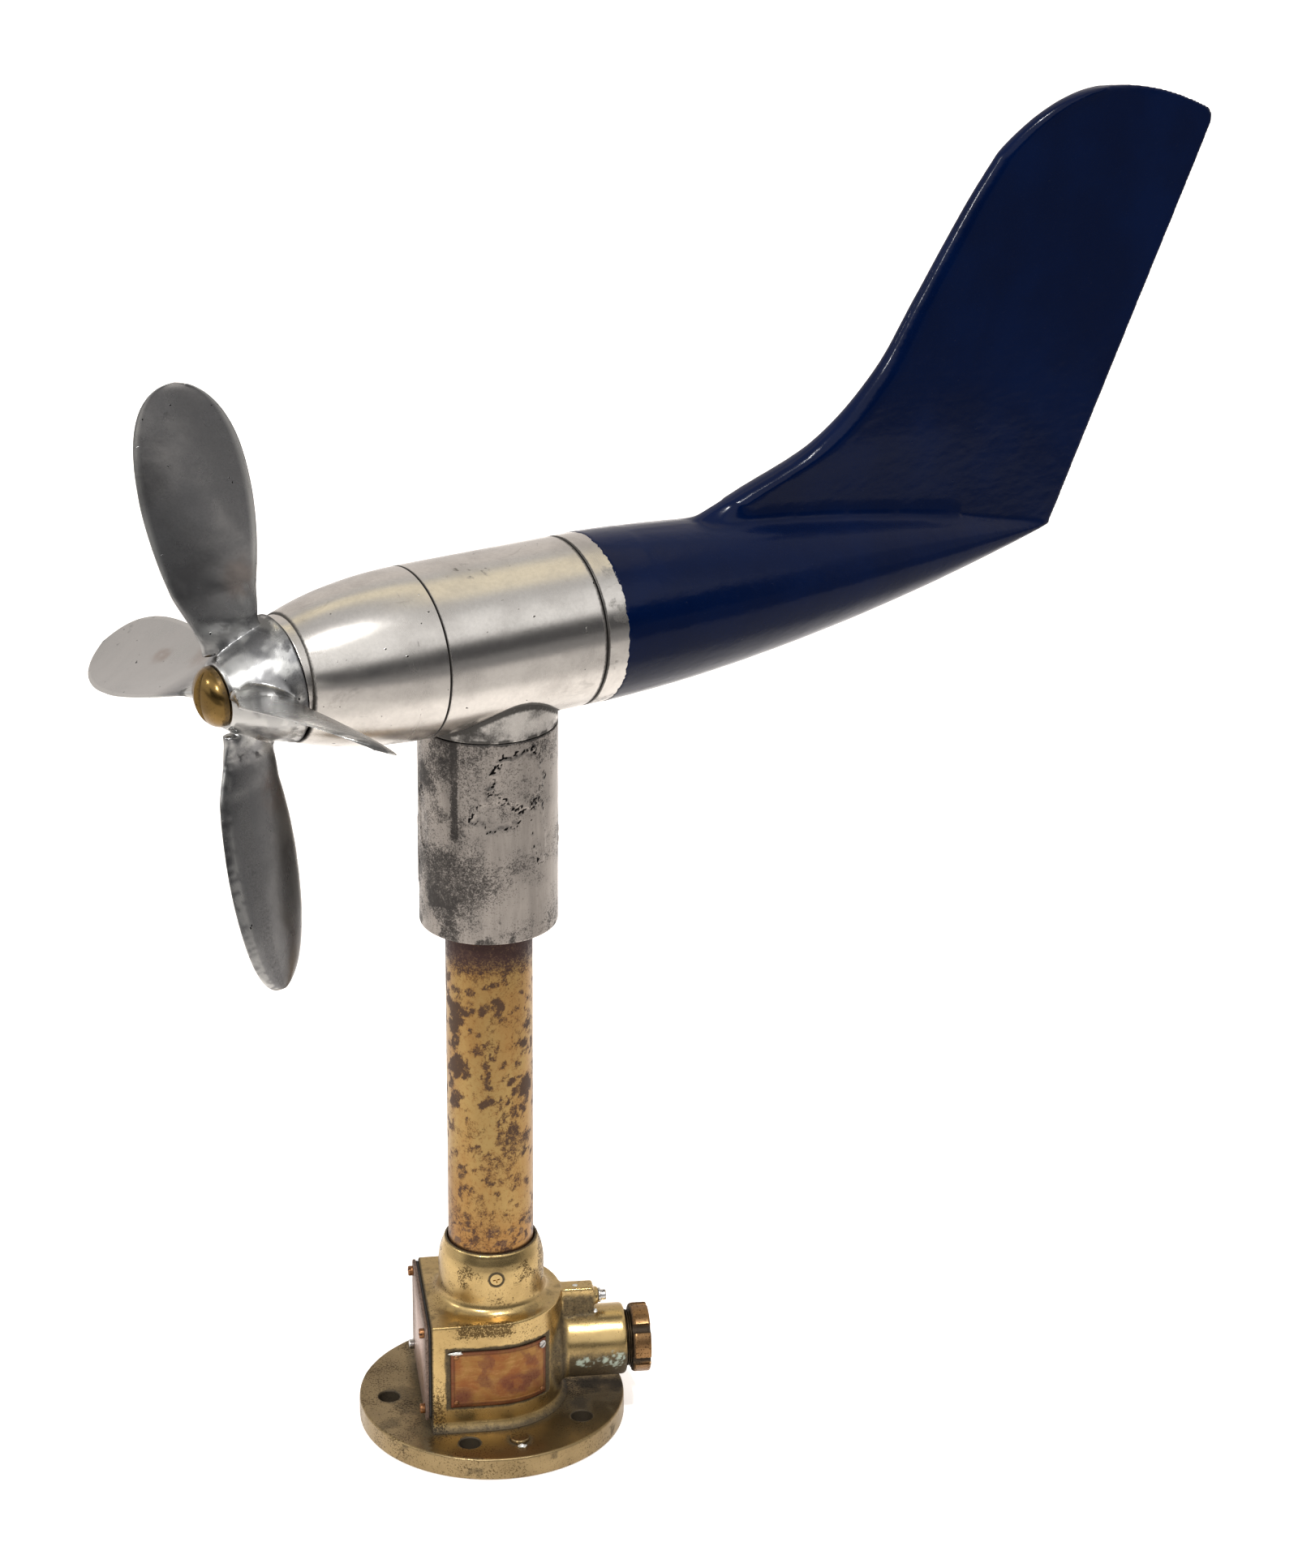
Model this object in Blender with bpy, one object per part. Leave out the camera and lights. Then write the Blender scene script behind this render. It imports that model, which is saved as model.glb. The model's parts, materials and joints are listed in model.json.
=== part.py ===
"""Vane anemometer: a propeller and a fin on a streamlined head, which turns on a brass column.

Lengths are in millimetres and are scaled to metres where meshes are made. The origin is the centre of
the flange's underside, +Z is up the column and +X is the way the cable gland points. The head turns
about Z, and the propeller turns about its own shaft, which droops a little below the head's axis.
"""
import math

import bmesh
import bpy
from mathutils import Vector

MM = 0.001
GAP = 0.3
SLOT_WIDTH = 0.9

# How many sides round pieces have
ROUND = 32
MIDDLING = 20
SMALL = 10

# Base
FLANGE_RADIUS = 80.0
FLANGE_TOP = 14.0
BOLT_COUNT = 5
BOLT_CIRCLE_RADIUS = 62.3
BOLT_HOLE_RADIUS = 6.35
PLUG_RADIUS = 5.9
PLUG_ANGLE = 280.0
BASE_OPENING_RADIUS = 34.0
BASE_PLATE_RADIUS = 44.0
BASE_PLATE_THICKNESS = 4.0
BASE_SCREW_CIRCLE = 39.2
BASE_SCREW_ANGLE = 41.5
BOX_HALF_WIDTH = 44.0
BOX_LEFT = -40.4
BOX_ARC_CENTRE = -2.0
BOX_WALL = 5.0
BOX_BOTTOM = FLANGE_TOP + GAP
BOX_TOP = 84.0
COVER_BOTTOM = 20.5
COVER_HALF_WIDTH = 45.0
COVER_SCREW_Y = 38.0
COVER_SCREW_HEIGHTS = (27.0, 78.0)
COLLAR_RADIUS = 31.4
COLLAR_TOP = 121.5
COLLAR_SCREW_HEIGHT = 107.0
GLAND_HEIGHT = 44.5
GLAND_RADIUS = 21.6
GLAND_END = 80.5
CABLE_RADIUS = 7.5
NAMEPLATE_BOTTOM = 30.0
NAMEPLATE_TOP = 67.5
NAMEPLATE_LEFT = -29.0
NAMEPLATE_ARC = 44.0

# Column
TUBE_RADIUS = 25.3
TUBE_BORE = 22.0
TUBE_BOTTOM = 88.3
TUBE_TOP = 352.0
SPINDLE_RADIUS = 17.5
SPINDLE_BORE = 11.0
SPINDLE_TOP = 446.5
BEARING_HEIGHTS = (362.0, 424.0)
BEARING_WIDTH = 16.0
BALL_CIRCLE = 26.5
BALL_RADIUS = 4.6
BALL_COUNT = 8

# Head
HEAD_REST_ANGLE = 23.8
HEAD_HEIGHT = 500.6
HEAD_RADIUS = 49.0
HEAD_BORE = 44.0
HEAD_HALF_LENGTH = 50.0
SKIRT_RADIUS = 40.0
SKIRT_BORE = 36.0
SKIRT_BOTTOM = 328.2
SKIRT_TOP = 450.8
NECK_BOTTOM = 440.6
NECK_BORE = 29.0
EDGE_BREAK = 0.6
NOSE_FRONT = -127.0
NOSE_FRONT_RADIUS = 36.0
ROD_RADIUS = 5.0
ROD_BOTTOM = 56.0
ROD_FLANGE_RADIUS = 12.0
ROD_FLANGE_BOTTOM = 459.0
ROD_FLANGE_TOP = 462.5
DRUM_RADIUS = 11.0
DRUM_BOTTOM = 63.0
DRUM_TOP = 77.5
SLIP_RING_HEIGHTS = (65.2, 72.2)
SLIP_RING_WIDTH = 3.2
SLIP_RING_BORE = 11.3
SLIP_RING_RADIUS = 13.2

# Tail and fin
TAIL_TIP = 394.0
TAIL_BAND_END = 62.0
TAIL_POWER = 1.66
TAIL_WALL = 3.0
FIN_WALL = 2.4
FIN_ROOT_THICKNESS = 23.0
FIN_TIP_THICKNESS = 10.0
FIN_EDGE_THICKNESS = 1.6
FIN_TOP = 766.5
# The fin's leading and trailing edges: (height above the base, distance behind the column).
FIN_LEADING_EDGE = ((528, 96), (557, 164), (578, 216), (613, 258), (655, 287), (709, 323), (735, 343),
                    (750, 360), (760, 379), (FIN_TOP, 410))
FIN_TRAILING_EDGE = ((500, 392), (620, 447.3), (733, 499.4), (740, 501), (746, 498), (754, 480),
                     (762, 450), (FIN_TOP, 424))

# Propeller, in its own frame: the shaft runs along Z towards the tail, 0 is the nose cowl's mouth
SHAFT_DROOP = 4.9
SHAFT_RISE = 0.9
PROPELLER_REST_ANGLE = 4.5
BLADE_COUNT = 4
BLADE_ROOT = 27.0
BLADE_TIP = 171.8
HUB_BACK = -4.0
HUB_FRONT = -41.2
HUB_BACK_RADIUS = 36.4
HUB_FRONT_RADIUS = 18.6
NUT_RADIUS = 17.1
NUT_DOME = 10.8
SHAFT_RADIUS = 6.0
SHAFT_FRONT = -46.0
SHAFT_BACK = 60.0

# Speed generator, in the propeller's frame
CASE_RADIUS = 32.2
CASE_BORE = 29.0
CASE_BACK = 50.0
CASE_NOSE = -3.2
CASE_HUB_RADIUS = 18.8
CASE_LIP_RADIUS = 10.0
CAP_BACK = 63.0
BEARING_CLEARANCE = 0.4
GENERATOR_BEARING_RADIUS = 18.5
COIL_BORE = 20.5
COIL_RADIUS = 28.7
BRACKET_RADIUS = 42.3
BRACKET_FRONT = -69.0
BRACKET_BACK = -62.0


# ---------------------------------------------------------------- materials

def material(name, colour, roughness, metallic):
    made = bpy.data.materials.new(name)
    made.use_nodes = True
    shader = made.node_tree.nodes["Principled BSDF"]
    shader.inputs["Base Color"].default_value = (*colour, 1.0)
    shader.inputs["Roughness"].default_value = roughness
    shader.inputs["Metallic"].default_value = metallic
    made.diffuse_color = (*colour, 1.0)
    return made


FINISHES = {
    "brass": ((0.60, 0.43, 0.17), 0.30, 1.0),
    "aged_brass": ((0.52, 0.34, 0.16), 0.42, 1.0),
    "copper_brass": ((0.62, 0.40, 0.30), 0.35, 1.0),
    "aluminium": ((0.62, 0.62, 0.61), 0.28, 1.0),
    "dull_aluminium": ((0.42, 0.42, 0.41), 0.45, 1.0),
    "steel": ((0.45, 0.45, 0.46), 0.32, 1.0),
    "navy_paint": ((0.004, 0.010, 0.075), 0.12, 0.0),
    "rubber": ((0.03, 0.03, 0.03), 0.75, 0.0),
    "felt": ((0.18, 0.16, 0.13), 0.95, 0.0),
    "copper": ((0.70, 0.32, 0.18), 0.30, 1.0),
    "bakelite": ((0.10, 0.045, 0.02), 0.35, 0.0),
    "carbon": ((0.05, 0.05, 0.055), 0.55, 0.0),
    "magnet": ((0.16, 0.16, 0.17), 0.40, 1.0),
}


# ---------------------------------------------------------------- shape helpers

def add_object(name, shape, finish=None, parent=None):
    """Makes an object from a bmesh, with its faces pointing out, and smooth where it is round."""
    bmesh.ops.recalc_face_normals(shape, faces=shape.faces)
    mesh = bpy.data.meshes.new(name)
    shape.to_mesh(mesh)
    shape.free()
    mesh.shade_smooth()
    mesh.set_sharp_from_angle(angle=math.radians(30))
    made = bpy.data.objects.new(name, mesh)
    bpy.context.scene.collection.objects.link(made)
    if parent is not None:
        made.parent = parent
    if finish is None:
        made.hide_render = True
        made.display_type = "WIRE"
    else:
        if finish not in bpy.data.materials:
            material(finish, *FINISHES[finish])
        mesh.materials.append(bpy.data.materials[finish])
    return made


def place(made, location=(0, 0, 0), turn=(0, 0, 0)):
    made.location = Vector(location) * MM
    made.rotation_euler = [math.radians(angle) for angle in turn]
    return made


def empty(name, location, turn, parent=None):
    made = bpy.data.objects.new(name, None)
    bpy.context.scene.collection.objects.link(made)
    made.parent = parent
    return place(made, location, turn)


def turned_shape(outline, steps=ROUND):
    """Spins a closed outline of (radius, height) points about Z."""
    shape = bmesh.new()
    ring = [shape.verts.new((radius * MM, 0, height * MM)) for radius, height in outline]
    edges = []
    for start, end in zip(ring, ring[1:] + ring[:1]):
        if start.co.x > 0 or end.co.x > 0:
            edges.append(shape.edges.new((start, end)))
    bmesh.ops.spin(shape, geom=ring + edges, cent=(0, 0, 0), axis=(0, 0, 1), dvec=(0, 0, 0),
                   angle=math.tau, steps=steps, use_merge=True)
    bmesh.ops.remove_doubles(shape, verts=shape.verts, dist=1e-6)
    loose = [vert for vert in shape.verts if not vert.link_faces]
    bmesh.ops.delete(shape, geom=loose, context="VERTS")
    return shape


def turned(name, outline, finish=None, parent=None, steps=ROUND):
    return add_object(name, turned_shape(outline, steps), finish, parent)


def ring_outline(inner, outer, bottom, top, edge=0.0):
    """The section of a ring, with its outer edges broken where edge isn't 0."""
    if edge == 0:
        return [(inner, bottom), (outer, bottom), (outer, top), (inner, top)]
    return [(inner, bottom), (outer - edge, bottom), (outer, bottom + edge), (outer, top - edge),
            (outer - edge, top), (inner, top)]


def lofted_shape(loops):
    """Skins a stack of loops that have the same number of points, and closes both ends."""
    shape = bmesh.new()
    rings = [[shape.verts.new(Vector(point) * MM) for point in loop] for loop in loops]
    for lower, upper in zip(rings, rings[1:]):
        for index in range(len(lower)):
            after = (index + 1) % len(lower)
            shape.faces.new((lower[index], lower[after], upper[after], upper[index]))
    shape.faces.new(rings[0])
    shape.faces.new(rings[-1])
    return shape


def lofted(name, loops, finish=None, parent=None):
    return add_object(name, lofted_shape(loops), finish, parent)


def block(name, low, high, finish=None, parent=None):
    corners = [(low[0], low[1]), (high[0], low[1]), (high[0], high[1]), (low[0], high[1])]
    loops = [[(x, y, z) for x, y in corners] for z in (low[2], high[2])]
    return lofted(name, loops, finish, parent)


def combine(target, other, operation, solver="EXACT"):
    """Joins, or cuts, the target with another object, which stays in the scene as a guide."""
    change = target.modifiers.new(other.name, "BOOLEAN")
    change.operation = operation
    change.object = other
    change.solver = solver


def join(target, other, solver="EXACT"):
    combine(target, other, "UNION", solver)


def cut(target, other, solver="EXACT"):
    combine(target, other, "DIFFERENCE", solver)


def on_circle(radius, degrees):
    angle = math.radians(degrees)
    return radius * math.cos(angle), radius * math.sin(angle)


def follow(points, place_along):
    """Reads a smooth curve through (position, value) points at one position."""
    last = len(points) - 2
    span = 0
    while span < last and place_along > points[span + 1][0]:
        span += 1
    before, start, end, after = (points[max(span - 1, 0)], points[span], points[span + 1],
                                 points[min(span + 2, last + 1)])
    width = end[0] - start[0]
    part = (place_along - start[0]) / width
    slope_in = (end[1] - before[1]) / (end[0] - before[0]) * width
    slope_out = (after[1] - start[1]) / (after[0] - start[0]) * width
    square, cube = part * part, part * part * part
    return ((2 * cube - 3 * square + 1) * start[1] + (cube - 2 * square + part) * slope_in
            + (3 * square - 2 * cube) * end[1] + (cube - square) * slope_out)


# ---------------------------------------------------------------- fasteners

def cheese_screw(name, head_radius, head_height, shank_radius, length, finish, slot_angle):
    """A slotted screw along Z: the head above 0, with its rounded edge, and the shank below."""
    round_edge = head_height * 0.35
    outline = [(0, -length), (shank_radius, -length), (shank_radius, 0), (head_radius, 0),
               (head_radius, head_height - round_edge), (head_radius - round_edge, head_height),
               (0, head_height)]
    made = turned(name, outline, finish, steps=SMALL)
    slot = block(name + "_slot", (-head_radius - 1, -SLOT_WIDTH / 2, head_height * 0.5),
                 (head_radius + 1, SLOT_WIDTH / 2, head_height + 1), parent=made)
    cut(made, place(slot, turn=(0, 0, slot_angle)))
    return made


def countersunk_screw(name, head_radius, head_height, shank_radius, length, finish):
    outline = [(0, -length), (shank_radius, -length), (shank_radius, -head_height), (head_radius, 0), (0, 0)]
    made = turned(name, outline, finish, steps=SMALL)
    for number, size in enumerate(((head_radius * 0.55, 0.35), (0.35, head_radius * 0.55))):
        arm = block(f"{name}_cross_{number}", (-size[0], -size[1], -head_height * 0.5),
                    (size[0], size[1], 1), parent=made)
        cut(made, arm)
    return made


def pocket(name, radius, bottom, top, parent=None, steps=MIDDLING):
    return turned(name, [(0, bottom), (radius, bottom), (radius, top), (0, top)], parent=parent, steps=steps)


# ---------------------------------------------------------------- base

def box_outline(grow, height):
    """The terminal box in plan: flat on the left, straight sides and a half-round right end."""
    left = BOX_LEFT - 0.4 * min(grow, 0)
    reach = BOX_HALF_WIDTH + grow
    points = [(left, -reach, height)]
    for step in range(21):
        x, y = on_circle(reach, -90 + 9 * step)
        points.append((BOX_ARC_CENTRE + x, y, height))
    points.append((left, reach, height))
    return points


def make_flange():
    edge = 1.6
    flange = turned("base_flange", [
        (BASE_OPENING_RADIUS, BASE_PLATE_THICKNESS + GAP),
        (BASE_PLATE_RADIUS + GAP, BASE_PLATE_THICKNESS + GAP),
        (BASE_PLATE_RADIUS + GAP, 0), (FLANGE_RADIUS - edge, 0), (FLANGE_RADIUS, edge),
        (FLANGE_RADIUS, FLANGE_TOP - edge), (FLANGE_RADIUS - 0.5, FLANGE_TOP - 0.5),
        (FLANGE_RADIUS - edge, FLANGE_TOP), (BASE_OPENING_RADIUS, FLANGE_TOP)], "brass", steps=ROUND + 8)
    for number in range(BOLT_COUNT):
        x, y = on_circle(BOLT_CIRCLE_RADIUS, 180 + number * 360 / BOLT_COUNT)
        hole = pocket(f"bolt_hole_{number}", BOLT_HOLE_RADIUS, -1, FLANGE_TOP + 1, steps=16)
        cut(flange, place(hole, (x, y, 0), (0, 0, 9)), "MANIFOLD")
    x, y = on_circle(BOLT_CIRCLE_RADIUS - 2.3, PLUG_ANGLE)
    cut(flange, place(pocket("plug_hole", PLUG_RADIUS + GAP, 5, FLANGE_TOP + 1), (x, y, 0)), "MANIFOLD")
    plug = [(0, 5 + GAP), (PLUG_RADIUS, 5 + GAP), (PLUG_RADIUS, FLANGE_TOP + 1.6),
            (PLUG_RADIUS - 0.9, FLANGE_TOP + 2.4), (0, FLANGE_TOP + 2.6)]
    place(turned("flange_plug", plug, "brass", steps=MIDDLING), (x, y, 0))
    return flange


def make_base_plate(flange):
    plate = turned("base_plate", [(0, 0), (BASE_PLATE_RADIUS, 0), (BASE_PLATE_RADIUS, BASE_PLATE_THICKNESS),
                                  (0, BASE_PLATE_THICKNESS)], "brass")
    head, shank = 3.6, 1.9
    for number in range(4):
        x, y = on_circle(BASE_SCREW_CIRCLE, BASE_SCREW_ANGLE + 90 * number)
        sink = turned(f"base_sink_{number}", [
            (0, -1), (head + GAP, -1), (head + GAP, 0.4), (shank + GAP, 2.7), (shank + GAP, 11), (0, 11)],
            steps=SMALL)
        place(sink, (x, y, 0))
        cut(plate, sink)
        cut(flange, sink, "MANIFOLD")
        screw = countersunk_screw(f"base_plate_screw_{number + 1}", head, 2.1, shank, 9.5, "steel")
        place(screw, (x, y, 0.4), (180, 0, 0))


def make_terminal_box():
    foot = [(BOX_BOTTOM, 4.0), (BOX_BOTTOM + 0.9, 2.2), (BOX_BOTTOM + 2.4, 0.8), (BOX_BOTTOM + 5, 0)]
    brow = [(BOX_TOP - 2.4, 0), (BOX_TOP - 0.8, -0.7), (BOX_TOP, -2.4)]
    box = lofted("terminal_box", [box_outline(grow, height) for height, grow in foot + brow], "brass")

    collar = [(0, BOX_TOP - 2), (COLLAR_RADIUS + 4.6, BOX_TOP - 2), (COLLAR_RADIUS + 4.4, BOX_TOP - 0.2),
              (COLLAR_RADIUS + 2.2, BOX_TOP + 0.8), (COLLAR_RADIUS + 0.6, BOX_TOP + 2.8),
              (COLLAR_RADIUS, BOX_TOP + 5.5), (COLLAR_RADIUS, COLLAR_TOP - 13),
              (COLLAR_RADIUS - 0.8, COLLAR_TOP - 8), (COLLAR_RADIUS - 2.2, COLLAR_TOP - 4),
              (COLLAR_RADIUS - 4.0, COLLAR_TOP - 1), (COLLAR_RADIUS - 5.0, COLLAR_TOP), (0, COLLAR_TOP)]
    join(box, turned("collar_shape", collar))

    boss_edge = 2.6
    boss = [(0, 0), (GLAND_RADIUS + 3, 0), (GLAND_RADIUS + 3, 40.5), (GLAND_RADIUS + 0.8, 42.5),
            (GLAND_RADIUS, 45), (GLAND_RADIUS, GLAND_END - boss_edge),
            (GLAND_RADIUS - 0.8, GLAND_END - 0.8), (GLAND_RADIUS - boss_edge, GLAND_END), (0, GLAND_END)]
    join(box, place(turned("boss_shape", boss, steps=ROUND - 4), (0, 0, GLAND_HEIGHT), (0, 90, 0)))

    lug = block("lug_shape", (20, -5.6, 56), (62, 5.6, BOX_TOP - 1))
    join(box, lug)
    eye = pocket("lug_eye_shape", 5.2, 40, 64.5, steps=SMALL)
    join(box, place(eye, (0, 0, 75), (0, 90, 0)))

    inside = [box_outline(-BOX_WALL, height) for height in (BOX_BOTTOM - 2, BOX_TOP - BOX_WALL)]
    inner_left = BOX_LEFT + BOX_WALL
    inside = [[(max(x, inner_left), y, z) for x, y, z in loop] for loop in inside]
    cut(box, lofted("box_cavity", inside), "MANIFOLD")
    ceiling = BOX_TOP - BOX_WALL - 2
    fit = TUBE_RADIUS + GAP
    socket = [(0, ceiling), (20, ceiling), (20, TUBE_BOTTOM - GAP), (fit, TUBE_BOTTOM - GAP),
              (fit, COLLAR_TOP + 2), (0, COLLAR_TOP + 2)]
    cut(box, turned("tube_socket", socket), "MANIFOLD")
    gland_bore = [(0, 20), (CABLE_RADIUS, 20), (CABLE_RADIUS, 56), (14.3, 56), (14.3, GLAND_END + 2),
                  (0, GLAND_END + 2)]
    cut(box, place(turned("gland_bore", gland_bore, steps=MIDDLING), (0, 0, GLAND_HEIGHT), (0, 90, 0)),
        "MANIFOLD")
    cut(box, block("cover_opening", (BOX_LEFT - 2, -30, 30), (inner_left + 2, 30, 72)), "MANIFOLD")
    return box


def make_side_cover(box):
    gasket_left, gasket_right = BOX_LEFT - 1.1, BOX_LEFT - GAP
    cover_left, cover_right = BOX_LEFT - 3.4, BOX_LEFT - 1.4

    def plate(name, left, right, inset, finish):
        reach, corner = COVER_HALF_WIDTH - inset, 5.0
        low, high = COVER_BOTTOM + inset, BOX_TOP - inset
        outline = []
        for x, y, start in ((1, 1, 0), (-1, 1, 90), (-1, -1, 180), (1, -1, 270)):
            for step in range(5):
                turn_y, turn_z = on_circle(corner, start + 22.5 * step)
                outline.append((x * (reach - corner) + turn_y,
                                (high - corner if y > 0 else low + corner) + turn_z))
        loops = [[(depth, y, z) for y, z in outline] for depth in (left, right)]
        return lofted(name, loops, finish)

    cover = plate("side_cover", cover_left, cover_right, 0, "copper_brass")
    gasket = plate("cover_gasket", gasket_left, gasket_right, 0.8, "rubber")
    window = block("gasket_window", (gasket_left - 1, -30, 30), (gasket_right + 1, 30, 72))
    cut(gasket, window)
    number = 0
    for height in COVER_SCREW_HEIGHTS:
        for side in (-COVER_SCREW_Y, COVER_SCREW_Y):
            number += 1
            hole = place(pocket(f"cover_screw_hole_{number}", 2.1, -6, 16, steps=SMALL),
                         (cover_left, side, height), (0, 90, 0))
            cut(cover, hole)
            cut(gasket, hole)
            cut(box, hole, "MANIFOLD")
            screw = cheese_screw(f"cover_screw_{number}", 2.9, 2.8, 1.7, 8.0, "aged_brass", 35 * number)
            place(screw, (cover_left - GAP, side, height), (0, -90, 0))


def make_nameplate(box):
    """A thin plate bent round the front of the box, and the four rivets that hold it."""
    inner, outer = BOX_HALF_WIDTH + GAP, BOX_HALF_WIDTH + 1.1
    steps = 9

    def edge_points(reach):
        points = [(NAMEPLATE_LEFT, -reach)]
        for step in range(steps + 1):
            x, y = on_circle(reach, -90 + NAMEPLATE_ARC * step / steps)
            points.append((BOX_ARC_CENTRE + x, y))
        return points

    outline = edge_points(outer) + edge_points(inner)[::-1]
    plate = lofted("nameplate", [[(x, y, z) for x, y in outline] for z in (NAMEPLATE_BOTTOM, NAMEPLATE_TOP)],
                   "aged_brass")
    number = 0
    for height in (NAMEPLATE_BOTTOM + 3.5, NAMEPLATE_TOP - 3.5):
        for angle, across in ((-90, NAMEPLATE_LEFT + 3.5), (-90 + NAMEPLATE_ARC - 4.5, BOX_ARC_CENTRE)):
            number += 1
            x, y = on_circle(outer + GAP, angle)
            silver = number == 4
            head = 2.6 if silver else 1.7
            outline = [(0, -3.2), (0.8, -3.2), (0.8, 0), (head, 0), (head * 0.94, head * 0.3),
                       (head * 0.7, head * 0.5), (0, head * 0.62)]
            finish = "steel" if silver else "aged_brass"
            rivet = turned(f"nameplate_rivet_{number}", outline, finish, steps=SMALL)
            turn = (90, 0, angle + 90)
            place(rivet, (across + x, y, height), turn)
            hole = pocket(f"rivet_hole_{number}", 1.1, -3.6, 3, steps=SMALL)
            place(hole, (across + x, y, height), turn)
            cut(plate, hole)
            cut(box, hole, "MANIFOLD")


def make_gland(box):
    """The cable gland: a seal and a washer squeezed by a castellated nut."""
    gland = empty("gland_frame", (0, 0, GLAND_HEIGHT), (0, 90, 0))
    turned("gland_seal", ring_outline(CABLE_RADIUS, 13.8, 56.3, 63), "rubber", gland, steps=MIDDLING)
    turned("gland_washer", ring_outline(CABLE_RADIUS, 13.8, 63.3, 65), "brass", gland, steps=MIDDLING)
    nut_back = GLAND_END + 3.6
    nut_front = nut_back + 10.8
    neck = [(CABLE_RADIUS, 65.3), (13.9, 65.3), (13.9, GLAND_END + 0.5), (16, GLAND_END + 0.9),
            (16, nut_back), (19.6, nut_back), (20.8, nut_back + 1.4), (20.8, nut_front - 1.4),
            (19.6, nut_front), (CABLE_RADIUS + 1.2, nut_front), (CABLE_RADIUS, nut_front - 1.2)]
    nut = turned("gland_nut", neck, "aged_brass", gland, steps=MIDDLING + 4)
    for number in range(6):
        low, high = (17.2, -2.9, nut_back + 1.2), (25, 2.9, nut_front + 2)
        notch = block(f"nut_notch_{number}", low, high, parent=gland)
        place(notch, turn=(0, 0, 60 * number))
        cut(nut, notch)


def make_small_base_parts(box):
    earth_hole = place(pocket("earth_hole", 1.9, 50, 70, steps=SMALL), (0, 0, 75), (0, 90, 0))
    cut(box, earth_hole, "MANIFOLD")
    screw = cheese_screw("earth_screw", 3.1, 3.0, 1.6, 10.0, "steel", 15)
    place(screw, (66.1, 0, 75), (0, 90, 0))
    turned("earth_washer", ring_outline(1.9, 4.3, 64.8, 65.8), "steel",
           empty("earth_frame", (0, 0, 75), (0, 90, 0)), steps=SMALL)
    sink_outline = [(0, -7), (2.2, -7), (2.2, -2.6), (3.9, -0.2), (3.9, 3), (0, 3)]
    sink = turned("collar_sink", sink_outline, steps=SMALL)
    place(sink, (0, -COLLAR_RADIUS, COLLAR_SCREW_HEIGHT), (90, 0, 0))
    cut(box, sink, "MANIFOLD")
    screw = countersunk_screw("collar_screw", 3.6, 2.4, 1.8, 5.3, "aged_brass")
    place(screw, (0, -COLLAR_RADIUS + 0.35, COLLAR_SCREW_HEIGHT), (90, 0, 0))


def make_base_internals():
    """The direction transmitter, its terminals, and the brushes that bear on the slip rings."""
    case = [(14, 4.4), (24, 4.4), (24, 7), (21, 7), (21, 42), (19.5, 44), (5.5, 44), (5.5, 41), (18, 41),
            (18, 10), (14, 10)]
    turned("transmitter_case", case, "dull_aluminium", steps=MIDDLING)
    block("brush_block", (-8, 21.8, 62), (8, 37.2, 77), "bakelite")
    for number, height in enumerate((65.6, 72.6)):
        block(f"brush_{number + 1}", (-2, 13.6, height), (2, 21.5, height + 2.4), "carbon")
    block("terminal_block", (-26, -37.4, 52), (6, -27, 66), "bakelite")


# ---------------------------------------------------------------- column

def make_column():
    turned("column_tube", ring_outline(TUBE_BORE, TUBE_RADIUS, TUBE_BOTTOM, TUBE_TOP), "aged_brass")
    spindle = [(SPINDLE_BORE, 330), (TUBE_BORE - GAP, 330), (TUBE_BORE - GAP, TUBE_TOP + GAP),
               (TUBE_RADIUS, TUBE_TOP + GAP), (TUBE_RADIUS, 358), (21, 358), (21, BEARING_HEIGHTS[0] - GAP),
               (SPINDLE_RADIUS, BEARING_HEIGHTS[0] - GAP), (SPINDLE_RADIUS, SPINDLE_TOP),
               (SPINDLE_BORE, SPINDLE_TOP)]
    turned("yaw_spindle", spindle, "steel", steps=MIDDLING)
    nut = turned("spindle_nut", ring_outline(SPINDLE_RADIUS + GAP, 25, 440.6, 446, 0.8), "steel",
                 steps=MIDDLING)
    for number in range(4):
        notch = block(f"spindle_notch_{number}", (22.5, -2.5, 438), (30, 2.5, 450))
        cut(nut, place(notch, turn=(0, 0, 90 * number)))


def make_bearing(prefix, bottom, head):
    top = bottom + BEARING_WIDTH
    turned(prefix + "_inner_race", ring_outline(SPINDLE_RADIUS + GAP, 21.6, bottom, top), "steel",
           steps=MIDDLING)
    turned(prefix + "_outer_race", ring_outline(31.4, SKIRT_BORE - GAP, bottom, top), "steel", head)
    middle = (bottom + top) / 2
    cage = turned(prefix + "_ball_cage", ring_outline(25, 28, middle - 2.4, middle + 2.4), "brass", head,
                  MIDDLING)
    for number in range(BALL_COUNT):
        ball = bmesh.new()
        bmesh.ops.create_icosphere(ball, subdivisions=1, radius=BALL_RADIUS * MM)
        x, y = on_circle(BALL_CIRCLE, 360 / BALL_COUNT * (number + 0.5))
        join(cage, place(add_object(f"{prefix}_ball_{number}", ball, parent=head), (x, y, middle)))


# ---------------------------------------------------------------- head

def make_skirt(head):
    edge = EDGE_BREAK
    foot_edge = 2 * EDGE_BREAK
    outline = [(SKIRT_BORE, SKIRT_BOTTOM), (SKIRT_RADIUS - foot_edge, SKIRT_BOTTOM),
               (SKIRT_RADIUS, SKIRT_BOTTOM + foot_edge), (SKIRT_RADIUS, SKIRT_TOP - edge),
               (SKIRT_RADIUS - edge, SKIRT_TOP), (SKIRT_BORE, SKIRT_TOP)]
    turned("bearing_skirt", outline, "dull_aluminium", head)
    turned("dust_seal", ring_outline(TUBE_RADIUS + 0.6, SKIRT_BORE - GAP, 333, 341), "felt", head)


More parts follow.
